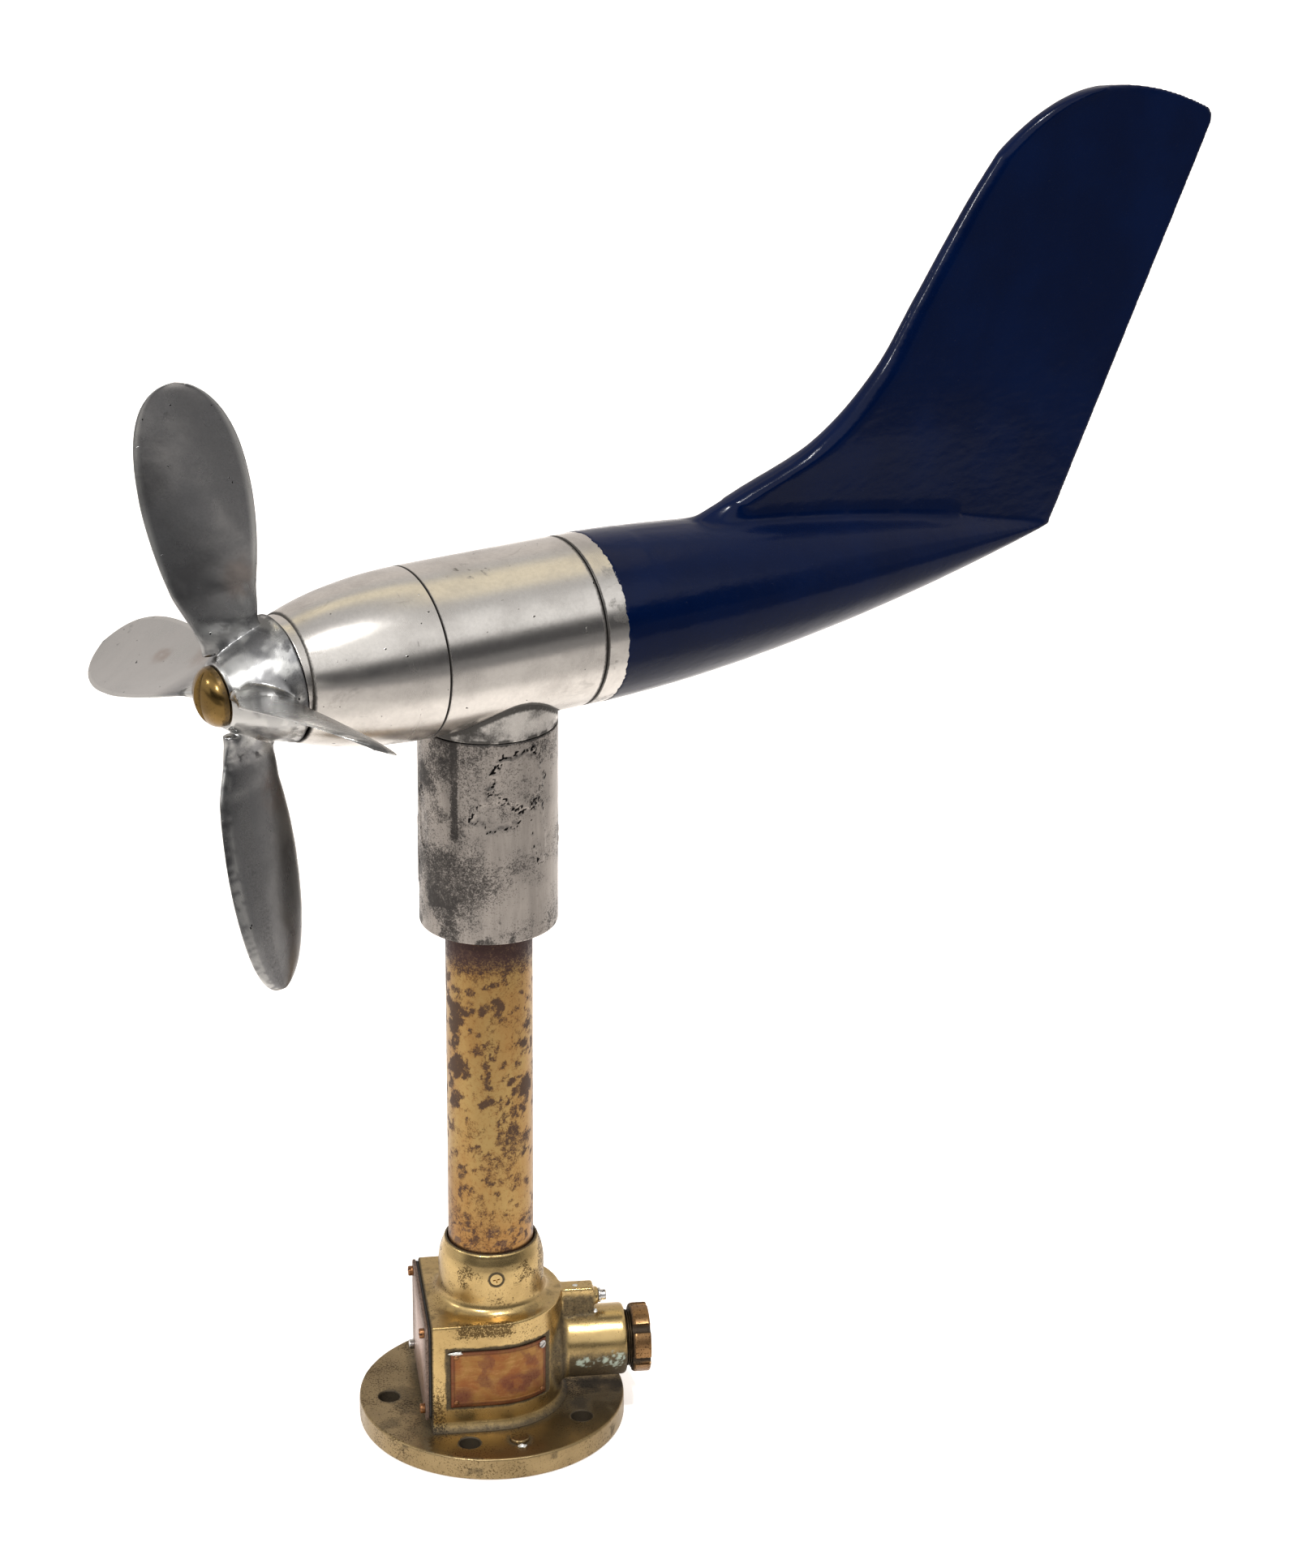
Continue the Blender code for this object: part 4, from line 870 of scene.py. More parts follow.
def plate_outline(reach, low, high, depth):
    """A rectangle with round corners in the YZ plane, at x = depth."""
    points = []
    steps = 8
    for side, rise, start in ((1, 1, 0), (-1, 1, 90), (-1, -1, 180), (1, -1, 270)):
        for step in range(steps + 1):
            turn_y, turn_z = on_circle(COVER_CORNER, start + 90 * step / steps)
            centre_z = high - COVER_CORNER if rise > 0 else low + COVER_CORNER
            points.append((depth, side * (reach - COVER_CORNER) + turn_y, centre_z + turn_z))
    return points


def make_cover(finish, gasket):
    """The cover on the box's flat side, and the gasket behind it."""
    left, right = BOX_LEFT - 3.4, BOX_LEFT - 1.4
    loops = []
    for depth, inset in ((left, 0.5), (left + 0.15, 0.18), (left + 0.5, 0), (right - 0.5, 0), (right, 0.4)):
        loops.append(plate_outline(COVER_HALF_WIDTH - inset, COVER_BOTTOM + inset, COVER_TOP - inset, depth))
    mesh = lofted("side_cover", loops)

    def add(holder):
        change = holder.modifiers.new("sides", "SUBSURF")
        change.subdivision_type = "SIMPLE"
        change.levels = change.render_levels = 1

    mesh = modified(mesh, add)

    def grime_and_shade(point, normal):
        edge = min(COVER_HALF_WIDTH - abs(point.y), point.z - COVER_BOTTOM, COVER_TOP - point.z)
        low = smooth(point.z, 44, 22) * 0.5
        return max(0.6 * smooth(edge, 5, 0.5), low)

    paint(mesh, "grime_and_shade", grime_and_shade)
    paint(mesh, "speckle", lambda point, normal: 0.3)
    piece("side_cover_fine", mesh, world_frame, "base", finish, ["side_cover"])
    rings = []
    reach, low, high = 44.3, 21.2, 83.3
    for depth, inset in ((1.3, 0.3), (1.0, 0), (0.4, 0), (0.1, 0.3)):
        rings.append(plate_outline(reach - inset, low + inset, high - inset, BOX_LEFT - depth))
    rim = lofted("gasket", rings)
    piece("cover_gasket_fine", rim, world_frame, "base", gasket, ["cover_gasket"])


def slotted_head(name, radius, height, shank, length, slot_angle, slot=0.95):
    """A screw along Z with its head above 0, its top edge rounded and a slot cut across."""
    dome = 0.3
    outline = rounded([(0, -length), (shank, -length, 0.2), (shank, 0, 0), (radius, 0, 0.15),
                       (radius, height, height * 0.5), (radius * 0.5, height + dome * 0.7, 0.3),
                       (0, height + dome)], steps=5)
    mesh = turned(name, outline, 48)
    across = radius * 1.5
    cutter = block("slot", (-across, -slot / 2, height * 0.45), (across, slot / 2, height + 3), 0)
    return boolean(mesh, moved(cutter, Matrix.Rotation(math.radians(slot_angle), 4, "Z")))


def make_base_screws(brown, silver, brass):
    """The cover's screws, the earth screw and washer, and the collar's flush screw."""
    outward = Matrix.Rotation(-math.pi / 2, 4, "Y")
    number = 0
    for height in (27.0, 78.0):
        for side in (-38.0, 38.0):
            number += 1
            finish = silver if number == 2 else brown
            mesh = slotted_head("cover_screw", 3.0, 2.9, 1.7, 7, 35 * number)
            place = Matrix.Translation((BOX_LEFT - 3.45, side, height)) @ outward
            node = f"cover_screw_{number}"
            piece(node + "_fine", moved(mesh, place), world_frame, "base", finish, [node])
    mesh = slotted_head("earth_screw", 3.2, 3.2, 1.6, 8, 20, 1.0)
    mesh = moved(mesh, Matrix.Translation((66.0, 0, EARTH_HEIGHT)) @ TOWARDS_X)
    piece("earth_screw_fine", mesh, world_frame, "base", silver, ["earth_screw"])
    ring = turned("earth_washer", rounded([(1.9, 64.6), (4.4, 64.6), (4.4, 65.9), (1.9, 65.9)], 0.3), 48)
    ring = moved(ring, Matrix.Translation((0, 0, EARTH_HEIGHT)) @ TOWARDS_X)
    piece("earth_washer_fine", ring, world_frame, "base", silver, ["earth_washer"])
    front = Matrix.Translation((0, -COLLAR_RADIUS + 0.1, COLLAR_SCREW_HEIGHT)) @ TOWARDS_FRONT
    outline = rounded([(0, -5), (1.8, -5, 0), (1.8, -2.3, 0), (3.7, -0.1, 0.2), (0, 0.15)])
    mesh = turned("collar_screw", outline, 48)
    for turn in (10, 100):
        cutter = block("slot", (-2.1, -0.4, -1.3), (2.1, 0.4, 2), 0)
        mesh = boolean(mesh, moved(cutter, Matrix.Rotation(math.radians(turn), 4, "Z")))
    piece("collar_screw_fine", moved(mesh, front), world_frame, "base", brass,
          ["collar_screw"])


def nameplate_point(along, out):
    """A point on the plate's path round the box's front, a distance along it from its left end."""
    straight = BOX_ARC_CENTRE + PLATE_REACH
    reach = BOX_HALF_WIDTH + out
    if along < straight:
        return -PLATE_REACH + along, -reach
    x, y = on_circle(reach, -90 + math.degrees((along - straight) / BOX_HALF_WIDTH))
    return BOX_ARC_CENTRE + x, y


def make_nameplate(finish, brown, silver):
    """The blank plate bent round the box's front, with its four rivets."""
    low, high = PLATE_BOTTOM, PLATE_TOP
    length = BOX_ARC_CENTRE + PLATE_REACH + math.radians(PLATE_WRAP) * BOX_HALF_WIDTH
    columns, rows = 84, 48
    points, faces = [], []
    grid = {}
    for layer, out in enumerate((0.2, 1.1)):
        for row in range(rows + 1):
            for column in range(columns + 1):
                along = length * column / columns
                height = low + (high - low) * row / rows
                edge = min(along, length - along, height - low, high - height)
                drop = 0.25 * smooth(edge, 0.9, 0.0) - 0.12 * smooth(abs(edge - 2.2), 0.8, 0.3)
                bend = 0.10 * wave((along, height, 0), 0.06, 50)
                x, y = nameplate_point(along, out + (bend - drop if layer else 0))
                grid[layer, row, column] = len(points)
                points.append((x, y, height))
    for row in range(rows):
        for column in range(columns):
            for layer in (0, 1):
                faces.append((grid[layer, row, column], grid[layer, row, column + 1],
                              grid[layer, row + 1, column + 1], grid[layer, row + 1, column]))
    for column in range(columns):
        for row in (0, rows):
            faces.append((grid[0, row, column], grid[0, row, column + 1], grid[1, row, column + 1],
                          grid[1, row, column]))
    for row in range(rows):
        for column in (0, columns):
            faces.append((grid[0, row, column], grid[0, row + 1, column], grid[1, row + 1, column],
                          grid[1, row, column]))
    mesh = mesh_of("nameplate", points, faces)

    def edge_of(point):
        """How far along the plate a point is, and how far inside its edge."""
        if point.x < BOX_ARC_CENTRE:
            along = point.x + PLATE_REACH
        else:
            turn = math.atan2(point.x - BOX_ARC_CENTRE, -point.y)
            along = BOX_ARC_CENTRE + PLATE_REACH + BOX_HALF_WIDTH * turn
        return along, min(along, length - along, point.z - low, high - point.z)

    def border(point, normal):
        edge = edge_of(point)[1]
        return max(smooth(edge, 0.8, 0.1), 0.55 * smooth(abs(edge - 2.2), 0.7, 0.2))

    def smudge(point, normal):
        along, edge = edge_of(point)
        low_right = smooth(math.hypot((along - 44) / 24, (point.z - 43) / 9), 1.4, 0.2)
        low_right *= 0.5 + 0.5 * smooth(wave((along, 3, point.z), 0.11, 5, 4), -0.3, 0.3)
        corner = smooth(math.hypot(along - 7, point.z - 37), 11, 2)
        top = smooth(point.z, 58, 66) * smooth(wave((along, 9, point.z), 0.08, 8), -0.1, 0.5)
        return max(0.9 * low_right, 0.8 * corner, 0.5 * top,
                   0.6 * smooth(wave((along, 0, point.z), 0.07, 3, 4), 0.1, 0.6), 0.7 * smooth(edge, 5, 1))

    paint(mesh, "border", border)
    paint(mesh, "smudge", smudge)
    piece("nameplate_fine", mesh, world_frame, "base", finish, ["nameplate"], sharp=40)
    number = 0
    for height in (low + 3.5, high - 3.5):
        for angle, across in ((-90, -PLATE_REACH + 3.5), (-90 + PLATE_WRAP - 4.5, BOX_ARC_CENTRE)):
            number += 1
            x, y = on_circle(BOX_HALF_WIDTH + 1.0, angle)
            turn = Matrix.Rotation(math.radians(angle + 90), 4, "Z")
            place = Matrix.Translation((across + x, y, height)) @ turn @ TOWARDS_FRONT
            if number == 4:
                mesh = slotted_head("rivet", 2.6, 2.6 * 0.4, 0.9, 2.5, 30, 0.6)
                slot, rivet_finish = "steel", silver
            else:
                head = 1.6
                mesh = turned("rivet", rounded([
                    (0, -2), (0.9, -2, 0), (0.9, 0, 0), (head, 0, 0.1), (head * 0.92, 0.5, 0.3),
                    (head * 0.5, 0.9, 0.4), (0, 1.0)]), 36)
                slot, rivet_finish = "screw_brass", brown
            node = f"nameplate_rivet_{number}"
            piece(node + "_fine", moved(mesh, place), world_frame, "base", rivet_finish, [node])


def make_gland(brown, dark, rubber):
    """The gland's threaded neck, its notched nut and its seal."""
    sideways = Matrix.Translation((0, 0, GLAND_HEIGHT)) @ TOWARDS_X
    back = GLAND_END + 3.6
    front = back + 10.8
    ribs = []
    for number in range(4):
        start = GLAND_END - 0.6 + 1.35 * number
        ribs += [(THREAD_RADIUS, start), (17.0, start + 0.35), (17.0, start + 0.75),
                 (THREAD_RADIUS, start + 1.1)]
    inside = [(GLAND_BORE, 66), (13.9, 66), (13.9, GLAND_END - 1.0)]
    outside = [(THREAD_RADIUS, back + 1), (GLAND_BORE, back + 1)]
    neck = turned("gland_neck", inside + ribs + outside, 128)
    piece("gland_thread", moved(neck, sideways), world_frame, "base", dark)
    nut = turned("gland_nut", dense(rounded([
        (GLAND_BORE, back + 0.2, 0), (19.9, back, 0.8), (20.8, back + 1.6, 0.8), (20.8, front, 1.3),
        (14, front, 0.3), (12.4, front - 2.4, 0.3), (9.0, front - 2.4, 0.3),
        (GLAND_BORE, front - 3.4, 0.3)]), 1.6), 144)
    for number in range(6):
        cutter = moved(turned("notch", [(0, -5), (3.0, -5), (3.0, 20), (0, 20)], 40),
                       Matrix.Translation((20.3, 0, back + 1.0)))
        opening = block("notch_mouth", (20.3, -3.0, back - 3), (26, 3.0, front + 6), 0)
        turn = Matrix.Rotation(math.radians(47 + 60 * number), 4, "Z")
        nut = boolean(nut, moved(cutter, turn))
        nut = boolean(nut, moved(opening, turn))

    def grime_and_shade(point, normal):
        reach = math.hypot(point.x, point.y)
        # Painted shade inside the nut's rim, over its recessed front face and bore; the back edge darkens
        # where the nut meets the boss.
        return max(smooth(reach, 20.2, 17.5) * 0.9, smooth(point.z, back + 2.2, back) * 0.7)

    paint(nut, "grime_and_shade", grime_and_shade)
    paint(nut, "speckle", lambda point, normal: 0.45)
    nut = moved(nut, sideways)
    piece("gland_nut_fine", nut, world_frame, "base", brown, ["gland_nut"])
    seal = turned("gland_seal", rounded([(7.6, 56.3), (13.8, 56.3), (13.8, 63), (7.6, 63)], 0.6), 64)
    piece("gland_seal_fine", moved(seal, sideways), world_frame, "base", rubber,
          ["gland_seal"])


def make_solder(finish):
    """Blobs of solder by the plug, under the lug and at the nameplate's corner."""
    plug_x, plug_y = on_circle(PLUG_CIRCLE, PLUG_ANGLE)
    blobs = (("solder_by_plug", (plug_x + 0.6, plug_y - 8.0, FLANGE_TOP + 0.5), (2.6, 1.5, 0.9)),
             ("solder_under_lug", (62.4, -3.5, 65.6), (1.5, 1.5, 1.8)),
             ("solder_on_nameplate", (-25.6, -BOX_HALF_WIDTH - 0.9, 66.6), (4.4, 0.7, 1.0)),
             ("solder_on_lug", (50.5, -1.0, BOX_TOP - 0.9), (1.6, 1.4, 0.5)))
    for name, centre, size in blobs:
        shape = bmesh.new()
        bmesh.ops.create_icosphere(shape, subdivisions=4, radius=1)
        for vert in shape.verts:
            swell = 1 + 0.32 * noise.fractal(vert.co * 1.3 + Vector(centre), 0.8, 2.0, 3)
            vert.co = (Vector([vert.co[i] * size[i] * swell for i in range(3)]) + Vector(centre)) * MM
        mesh = bpy.data.meshes.new(name)
        shape.to_mesh(mesh)
        shape.free()
        piece(name, mesh, world_frame, "base", finish)


# ---------------------------------------------------------------- column

def make_column(finish):
    """The brass tube: spotted, with painted shade at the top under the skirt, and pink at the foot."""
    outline = dense([(22.2, TUBE_BOTTOM), (TUBE_RADIUS, TUBE_BOTTOM), (TUBE_RADIUS, TUBE_TOP),
                     (22.2, TUBE_TOP)], 1.7)
    mesh = turned("column_tube", outline, 128)
    shift(mesh, lambda point, normal: 0.06 * wave(point, 0.04, 15))

    def spots(point, normal):
        height = point.z
        belt = smooth(abs(height - 250), 80, 25)
        blot = smooth(wave(point, 0.06, 60, 5), 0.02, 0.42)
        fine = smooth(wave(point, 0.15, 70, 4), 0.12, 0.5)
        high = smooth(height, 286, 322)
        return max(blot * (0.35 + 0.65 * belt), 0.7 * fine, high * 0.8)

    def grime_and_shade(point, normal):
        # Painted shade on the top of the tube, under the skirt.
        top = smooth(point.z, 284, 322) * 1.15
        bottom = smooth(point.z, 124.5, 120.8)
        purple = smooth(abs(point.z - 131), 15, 4) * smooth(wave(point, 0.18, 80, 4), -0.2, 0.4) * 0.85
        return max(top, bottom, purple)

    paint(mesh, "spots", spots)
    paint(mesh, "grime_and_shade", grime_and_shade)
    paint(mesh, "pink", lambda point, normal: smooth(point.z, 156, 126) * 0.7
          + 0.2 * smooth(wave(point, 0.03, 90), 0.2, 0.6))
    piece("column_tube_fine", mesh, world_frame, "base", finish, ["column_tube"])


# ---------------------------------------------------------------- head pieces

def skirt_patches(angle, height):
    """How far inside each casting flaw a place on the skirt is: (depth in mm, closeness to its edge)."""
    flaws = ((22, 428, 24, 17, 0.55), (2, 408, 20, 9, -0.45), (-74, 396, 9, 17, -0.6), (40, 395, 8, 20, 0.3),
             (110, 380, 26, 18, 0.4), (190, 410, 22, 14, -0.4), (255, 370, 18, 22, 0.4))
    depth = 0.0
    edge = 0.0
    ragged = noise.fractal(Vector((angle * 0.12, height * 0.14, 3.0)), 0.7, 2.1, 4)
    fine = noise.fractal(Vector((angle * 0.4, height * 0.45, 9.0)), 0.7, 2.1, 3)
    for centre, middle, wide, tall, step in flaws:
        around = (angle - centre + 180) % 360 - 180
        lean = (height - middle) + around * (0.9 if wide < 12 else 0.0)
        inside = 1 - math.hypot(around / wide, lean / tall) + 0.30 * ragged + 0.10 * fine
        depth += step * smooth(inside, 0.0, 0.07)
        edge = max(edge, smooth(abs(inside - 0.02), 0.055, 0.015) * (0.4 + 0.6 * smooth(ragged, -0.35, 0.25)))
    return depth, edge


def make_skirt(finish, felt):
    """The bearing skirt with its casting flaws, and the felt seal in its mouth."""
    outline = dense(rounded([(SKIRT_BORE, SKIRT_BOTTOM), (SKIRT_RADIUS, SKIRT_BOTTOM, 1.1),
                             (SKIRT_RADIUS, SKIRT_TOP, 0.5), (SKIRT_BORE, SKIRT_TOP)]), 0.95)
    mesh = turned("bearing_skirt", outline, 272)

    def where(point):
        """A point's angle round the skirt from the side that faces front, and its height."""
        return math.degrees(math.atan2(point.y, point.x)) + SKIRT_FRONT, point.z

    def relief(point, normal):
        if math.hypot(point.x, point.y) < SKIRT_RADIUS - 0.2:
            return 0.0
        return skirt_patches(*where(point))[0] + 0.08 * wave(point, 0.08, 4)

    paint(mesh, "crack", lambda point, normal: skirt_patches(*where(point))[1])

    def grime_and_shade(point, normal):
        angle, height = where(point)
        angle = (angle + 180) % 360 - 180
        strip = smooth(abs(angle + 34), 4.2, 2.6) * smooth(height, 385, 398)
        cloud = smooth(wave(point, 0.035, 33), -0.35, 0.5)
        # Painted shade darkens the skirt's left side, in clouds.
        left = smooth(angle, 25, -60) * (0.3 + 0.7 * cloud)
        belt = smooth(math.hypot((angle + 38) / 62, (height - 366) / 26), 1.3, 0.2) * 0.8
        upper = smooth(math.hypot((angle + 38) / 40, (height - 436) / 24), 1.3, 0.3) * 0.55
        foot = smooth(height, 345, 330) * smooth(wave(point, 0.06, 8), -0.1, 0.4)
        rim = smooth(height, SKIRT_TOP - 2.5, SKIRT_TOP) * 0.8
        return max(0.95 * strip, 0.75 * left, belt, upper, 0.8 * foot, rim, 0.35 * cloud)

    paint(mesh, "grime_and_shade", grime_and_shade)
    shift(mesh, relief)
    piece("bearing_skirt_fine", mesh, head_frame, "head", finish, ["bearing_skirt"],
          sharp=60)
    seal = turned("dust_seal", rounded([
        (TUBE_RADIUS + 0.6, 333), (SKIRT_BORE - 0.1, 333), (SKIRT_BORE - 0.1, 341),
        (TUBE_RADIUS + 0.6, 341)], 1.0), MEDIUM)
    shift(seal, lambda point, normal: 0.2 * wave(point, 0.5, 2))
    piece("dust_seal_fine", seal, head_frame, "head", felt, ["dust_seal"])


def make_housing(finish):
    """The head's middle barrel, with the round neck that joins it to the skirt."""
    barrel = turned("barrel", dense(rounded([(44, -HALF_LENGTH + 0.2), (HEAD_RADIUS, -HALF_LENGTH + 0.2, 0.5),
                                             (HEAD_RADIUS, HALF_LENGTH - 0.35, 0.5),
                                             (44, HALF_LENGTH - 0.35)]), 2.2), 224)
    solid = turned("solid", [(0, -44), (46, -44), (46, 44), (0, 44)], 96)
    neck_bottom = SKIRT_TOP + 0.5
    neck = turned("neck", dense(rounded([(0, neck_bottom), (SKIRT_RADIUS, neck_bottom, 0.8),
                                         (SKIRT_RADIUS, 482, 0), (0, 482)]), 1.6), 200)
    lift = Matrix.Translation((0, 0, -head_height / MM))
    stand = Matrix.Rotation(-math.pi / 2, 4, "Y") @ lift
    mesh = boolean(joined("head_housing", [barrel]), solid, "UNION")
    mesh = boolean(mesh, moved(neck, stand), "UNION")

    def grime_and_shade(point, normal):
        along, below = point.z, point.x
        reach = math.hypot(point.x, point.y)
        neck_reach = math.hypot(along, point.y)
        on_neck = smooth(reach, HEAD_RADIUS + 0.2, HEAD_RADIUS + 0.8)
        # Painted shade in the crease where the neck meets the barrel.
        saddle = smooth(reach, HEAD_RADIUS + 3.5, HEAD_RADIUS + 0.4) * on_neck
        saddle_above = smooth(abs(neck_reach - SKIRT_RADIUS), 2.2, 0.3) * smooth(below, 20, 28)
        saddle_above *= 1 - on_neck
        foot = smooth(below, 44.5, 49.8) * on_neck * smooth(wave(point, 0.08, 3), -0.5, 0.2)
        front_left = on_neck * smooth(along, 5, -20) * (0.45 + 0.5 * wave(point, 0.07, 12))
        # Darkens the whole neck, unevenly.
        dull = on_neck * (0.34 + 0.22 * wave(point, 0.09, 23))
        # Painted shade on the barrel's underside, towards the front.
        under = smooth(below, 34, 47) * (1 - on_neck) * smooth(along, -10, -40) * 0.25
        seam = 0.8 * smooth(along, HALF_LENGTH - 2.0, HALF_LENGTH - 0.6)
        seam = max(seam, 1.1 * smooth(along, 0.95 - HALF_LENGTH, 0.5 - HALF_LENGTH))
        streaks = wave((point.x * 0.5, point.y * 0.5, along), 0.30, 17, 5)
        top_smear = smooth(math.hypot((along + 22) / 26, (point.y + 14) / 12), 1.2, 0.2)
        top_smear *= smooth(streaks, 0.0, 0.5) * smooth(below, -30, -42) * 0.55
        return max(saddle, saddle_above, foot, front_left, dull, under, seam, top_smear)

    paint(mesh, "grime_and_shade", grime_and_shade)
    piece("head_housing_fine", mesh, axis_frame, "head", finish, ["head_housing"], sharp=28)


def make_cowl(finish):
    """The nose cowl, and the ring that shows in its mouth."""
    middle, reach = -45.0, 121.0
    rear = -HALF_LENGTH - 0.35
    outside = []
    steps = 30
    for step in range(steps + 1):
        along = NOSE_FRONT + (rear - NOSE_FRONT) * step / steps
        outside.append((HEAD_RADIUS * math.sqrt(1 - ((along - middle) / reach) ** 2), along))
    outline = [(33.6, NOSE_FRONT + 9, 0), (34.6, NOSE_FRONT, 0.4), (*outside[0], 0.5)]
    outline += [(*point, 0) for point in outside[1:-1]]
    outline += [(*outside[-1], 0.5), (43.5, rear, 0), (43.5, -46, 0), (38, -46, 0), (38, NOSE_FRONT + 16, 0)]
    outline = rounded(outline)
    mesh = turned("nose_cowl", dense(outline, 2.4), 224)

    def grime_and_shade(point, normal):
        mouth = smooth(point.z, NOSE_FRONT + 2.2, NOSE_FRONT) * 0.7
        seam = smooth(point.z, rear - 0.6, rear - 0.2) * 1.1
        # Painted shade on the cowl's underside, in patches.
        under = smooth(point.x, 30, 42) * smooth(wave(point, 0.05, 5), -0.4, 0.4) * 0.45
        tool = smooth(abs(point.z + 67), 1.0, 0.2) * smooth(abs(wave(point, 0.12, 3)), 0.1, 0.5) * 0.4
        return max(mouth, seam, under, tool)

    paint(mesh, "grime_and_shade", grime_and_shade)
    piece("nose_cowl_fine", mesh, axis_frame, "head", finish, ["nose_cowl"], sharp=28)
    ring = turned("mouth_ring", dense(rounded([
        (30, -2.9), (34.3, -2.9, 0.6), (34.3, 8, 0), (30, 8, 0)], 0.4), 2), 160)
    shift(ring, lambda point, normal: 0.10 * wave(point, 0.12, 30))
    paint(ring, "grime_and_shade", lambda point, normal: 0.25 + 0.3 * wave(point, 0.1, 4))
    piece("generator_front_ring", ring, spin_frame, "head", finish)


def tail_radius(along):
    """The boat tail's radius at a distance behind the column."""
    if along < TAIL_BAND_END:
        return HEAD_RADIUS
    part = min((along - TAIL_BAND_END) / (TAIL_TIP - TAIL_BAND_END), 1.0)
    return HEAD_RADIUS * (1 - part ** TAIL_TAPER)


def fin_edges(height):
    """Where the fin starts and ends at a height; both edges curve over to meet at its peak."""
    below = math.sqrt(max(FIN_TOP - height, 0.0))
    front = FIN_PEAK - 13.18 * below
    back = FIN_PEAK + 17.5 * below
    if height < FIN_LEADING_EDGE[-1][0]:
        front = follow(FIN_LEADING_EDGE, height)
    if height < FIN_TRAILING_EDGE[-1][0]:
        back = follow(FIN_TRAILING_EDGE, height)
    return front, max(back, front + 0.8)


def fin_section(height):
    """One level section of the fin: a round leading edge, then flat sides that taper to the trailing edge."""
    front, back = fin_edges(height)
    rise = (height - FIN_BOTTOM) / (FIN_TOP - FIN_BOTTOM)
    thickness = FIN_ROOT_THICKNESS - (FIN_ROOT_THICKNESS - FIN_TIP_THICKNESS) * rise ** 0.6
    nose = min(thickness / 2, (back - front) * 0.25)
    tight, wide, change = 0.70 * nose, 2.94 * nose, math.radians(60)
    side = []
    for step in range(9):
        turn = math.radians(3) + (change - math.radians(3)) * step / 8
        side.append((front + tight * (1 - math.cos(turn)), tight * math.sin(turn)))
    start, level = side[-1]
    for step in range(1, 9):
        turn = change + (math.pi / 2 - change) * step / 8
        side.append((start + wide * (math.cos(change) - math.cos(turn)),
                     level + wide * (math.sin(turn) - math.sin(change))))
    start, level = side[-1]
    stations = 25
    for step in range(1, stations + 1):
        part = step / stations
        side.append((start + (back - start) * part, level + (FIN_BACK_HALF - level) * part))
    return [(x, y, height) for x, y in side] + [(x, -y, height) for x, y in side[::-1]]


def make_tail(bare, paint_finish):
    """The bare band, then the painted boat tail and fin in one skin."""
    lift = Matrix.Translation((0, 0, head_height / MM)) @ TOWARDS_X
    start = HALF_LENGTH + 0.35
    band = turned("band", dense(rounded([(40, start), (HEAD_RADIUS, start, 0.5), (HEAD_RADIUS - 0.1, 72, 0),
                                         (40, 72, 0)]), 1.6), 224)

    def grime_and_shade(point, normal):
        seam = smooth(point.z, start + 1.6, start + 0.3) * 0.9
        paint_line = smooth(point.z, PAINT_START - 2.5, PAINT_START) * 0.25
        return max(seam, paint_line, 0.4 * smooth(wave(point, 0.08, 6), 0.2, 0.6))

    paint(band, "grime_and_shade", grime_and_shade)
    piece("tail_bare_band", band, axis_frame, "head", bare)

    outline = [(0, PAINT_START), (HEAD_RADIUS + 0.25, PAINT_START)]
    steps = 60
    for step in range(1, steps + 1):
        along = PAINT_START + (TAIL_TIP - PAINT_START) * (step / steps) ** 0.9
        outline.append((tail_radius(along) + 0.2, along))
    outline[-1] = (0, TAIL_TIP)
    body = moved(turned("body", outline, 160), lift)
    heights = [FIN_TOP - (FIN_TOP - FIN_BOTTOM) * (1 - step / 120) ** 2.0 for step in range(121)]
    fin = lofted("fin", [fin_section(height) for height in heights])
    mesh = cast(joined("tail", [body, fin]), 1.25, 3)
    soften_root(mesh)

    def coat(point, normal):
        return 0.10 * wave(point, 0.03, 5) + 0.035 * wave((point.x * 0.4, point.y, point.z), 0.3, 8)

    shift(mesh, coat)
    for vert in mesh.vertices:
        point = vert.co / MM
        if point.x < PAINT_START + 6:
            edge = 0.8 * wave((0, point.y, point.z), 0.12, 14) + 0.5 * wave((0, point.y, point.z), 0.5, 3)
            vert.co.x += edge * MM * smooth(point.x, PAINT_START + 6, PAINT_START + 1)
    mesh.update()
    piece("tail_and_fin", mesh, head_frame, "head", paint_finish, ["tail_fin"], sharp=0)


def relax(mesh, shape, corner, rounds):
    """Smooths only the vertices given, and stores the shape in the mesh."""
    for _ in range(rounds):
        bmesh.ops.smooth_vert(shape, verts=corner, factor=0.5, use_axis_x=True, use_axis_y=True,
                              use_axis_z=True)
    shape.to_mesh(mesh)
    shape.free()
    mesh.update()


def soften_root(mesh):
    """Fills the corner between the fin and the boat tail with a fillet, by smoothing only there."""
    shape = bmesh.new()
    shape.from_mesh(mesh)
    corner = []
    for vert in shape.verts:
        point = vert.co / MM
        if point.x < 90:
            continue
        rise = point.z - FIN_BOTTOM
        radius = tail_radius(point.x)
        gap = math.hypot(point.y, rise) - radius
        if -3.0 < gap < 11 and rise > radius * 0.5 and abs(point.y) > 3.5:
            corner.append(vert)
    relax(mesh, shape, corner, 70)


# ---------------------------------------------------------------- propeller

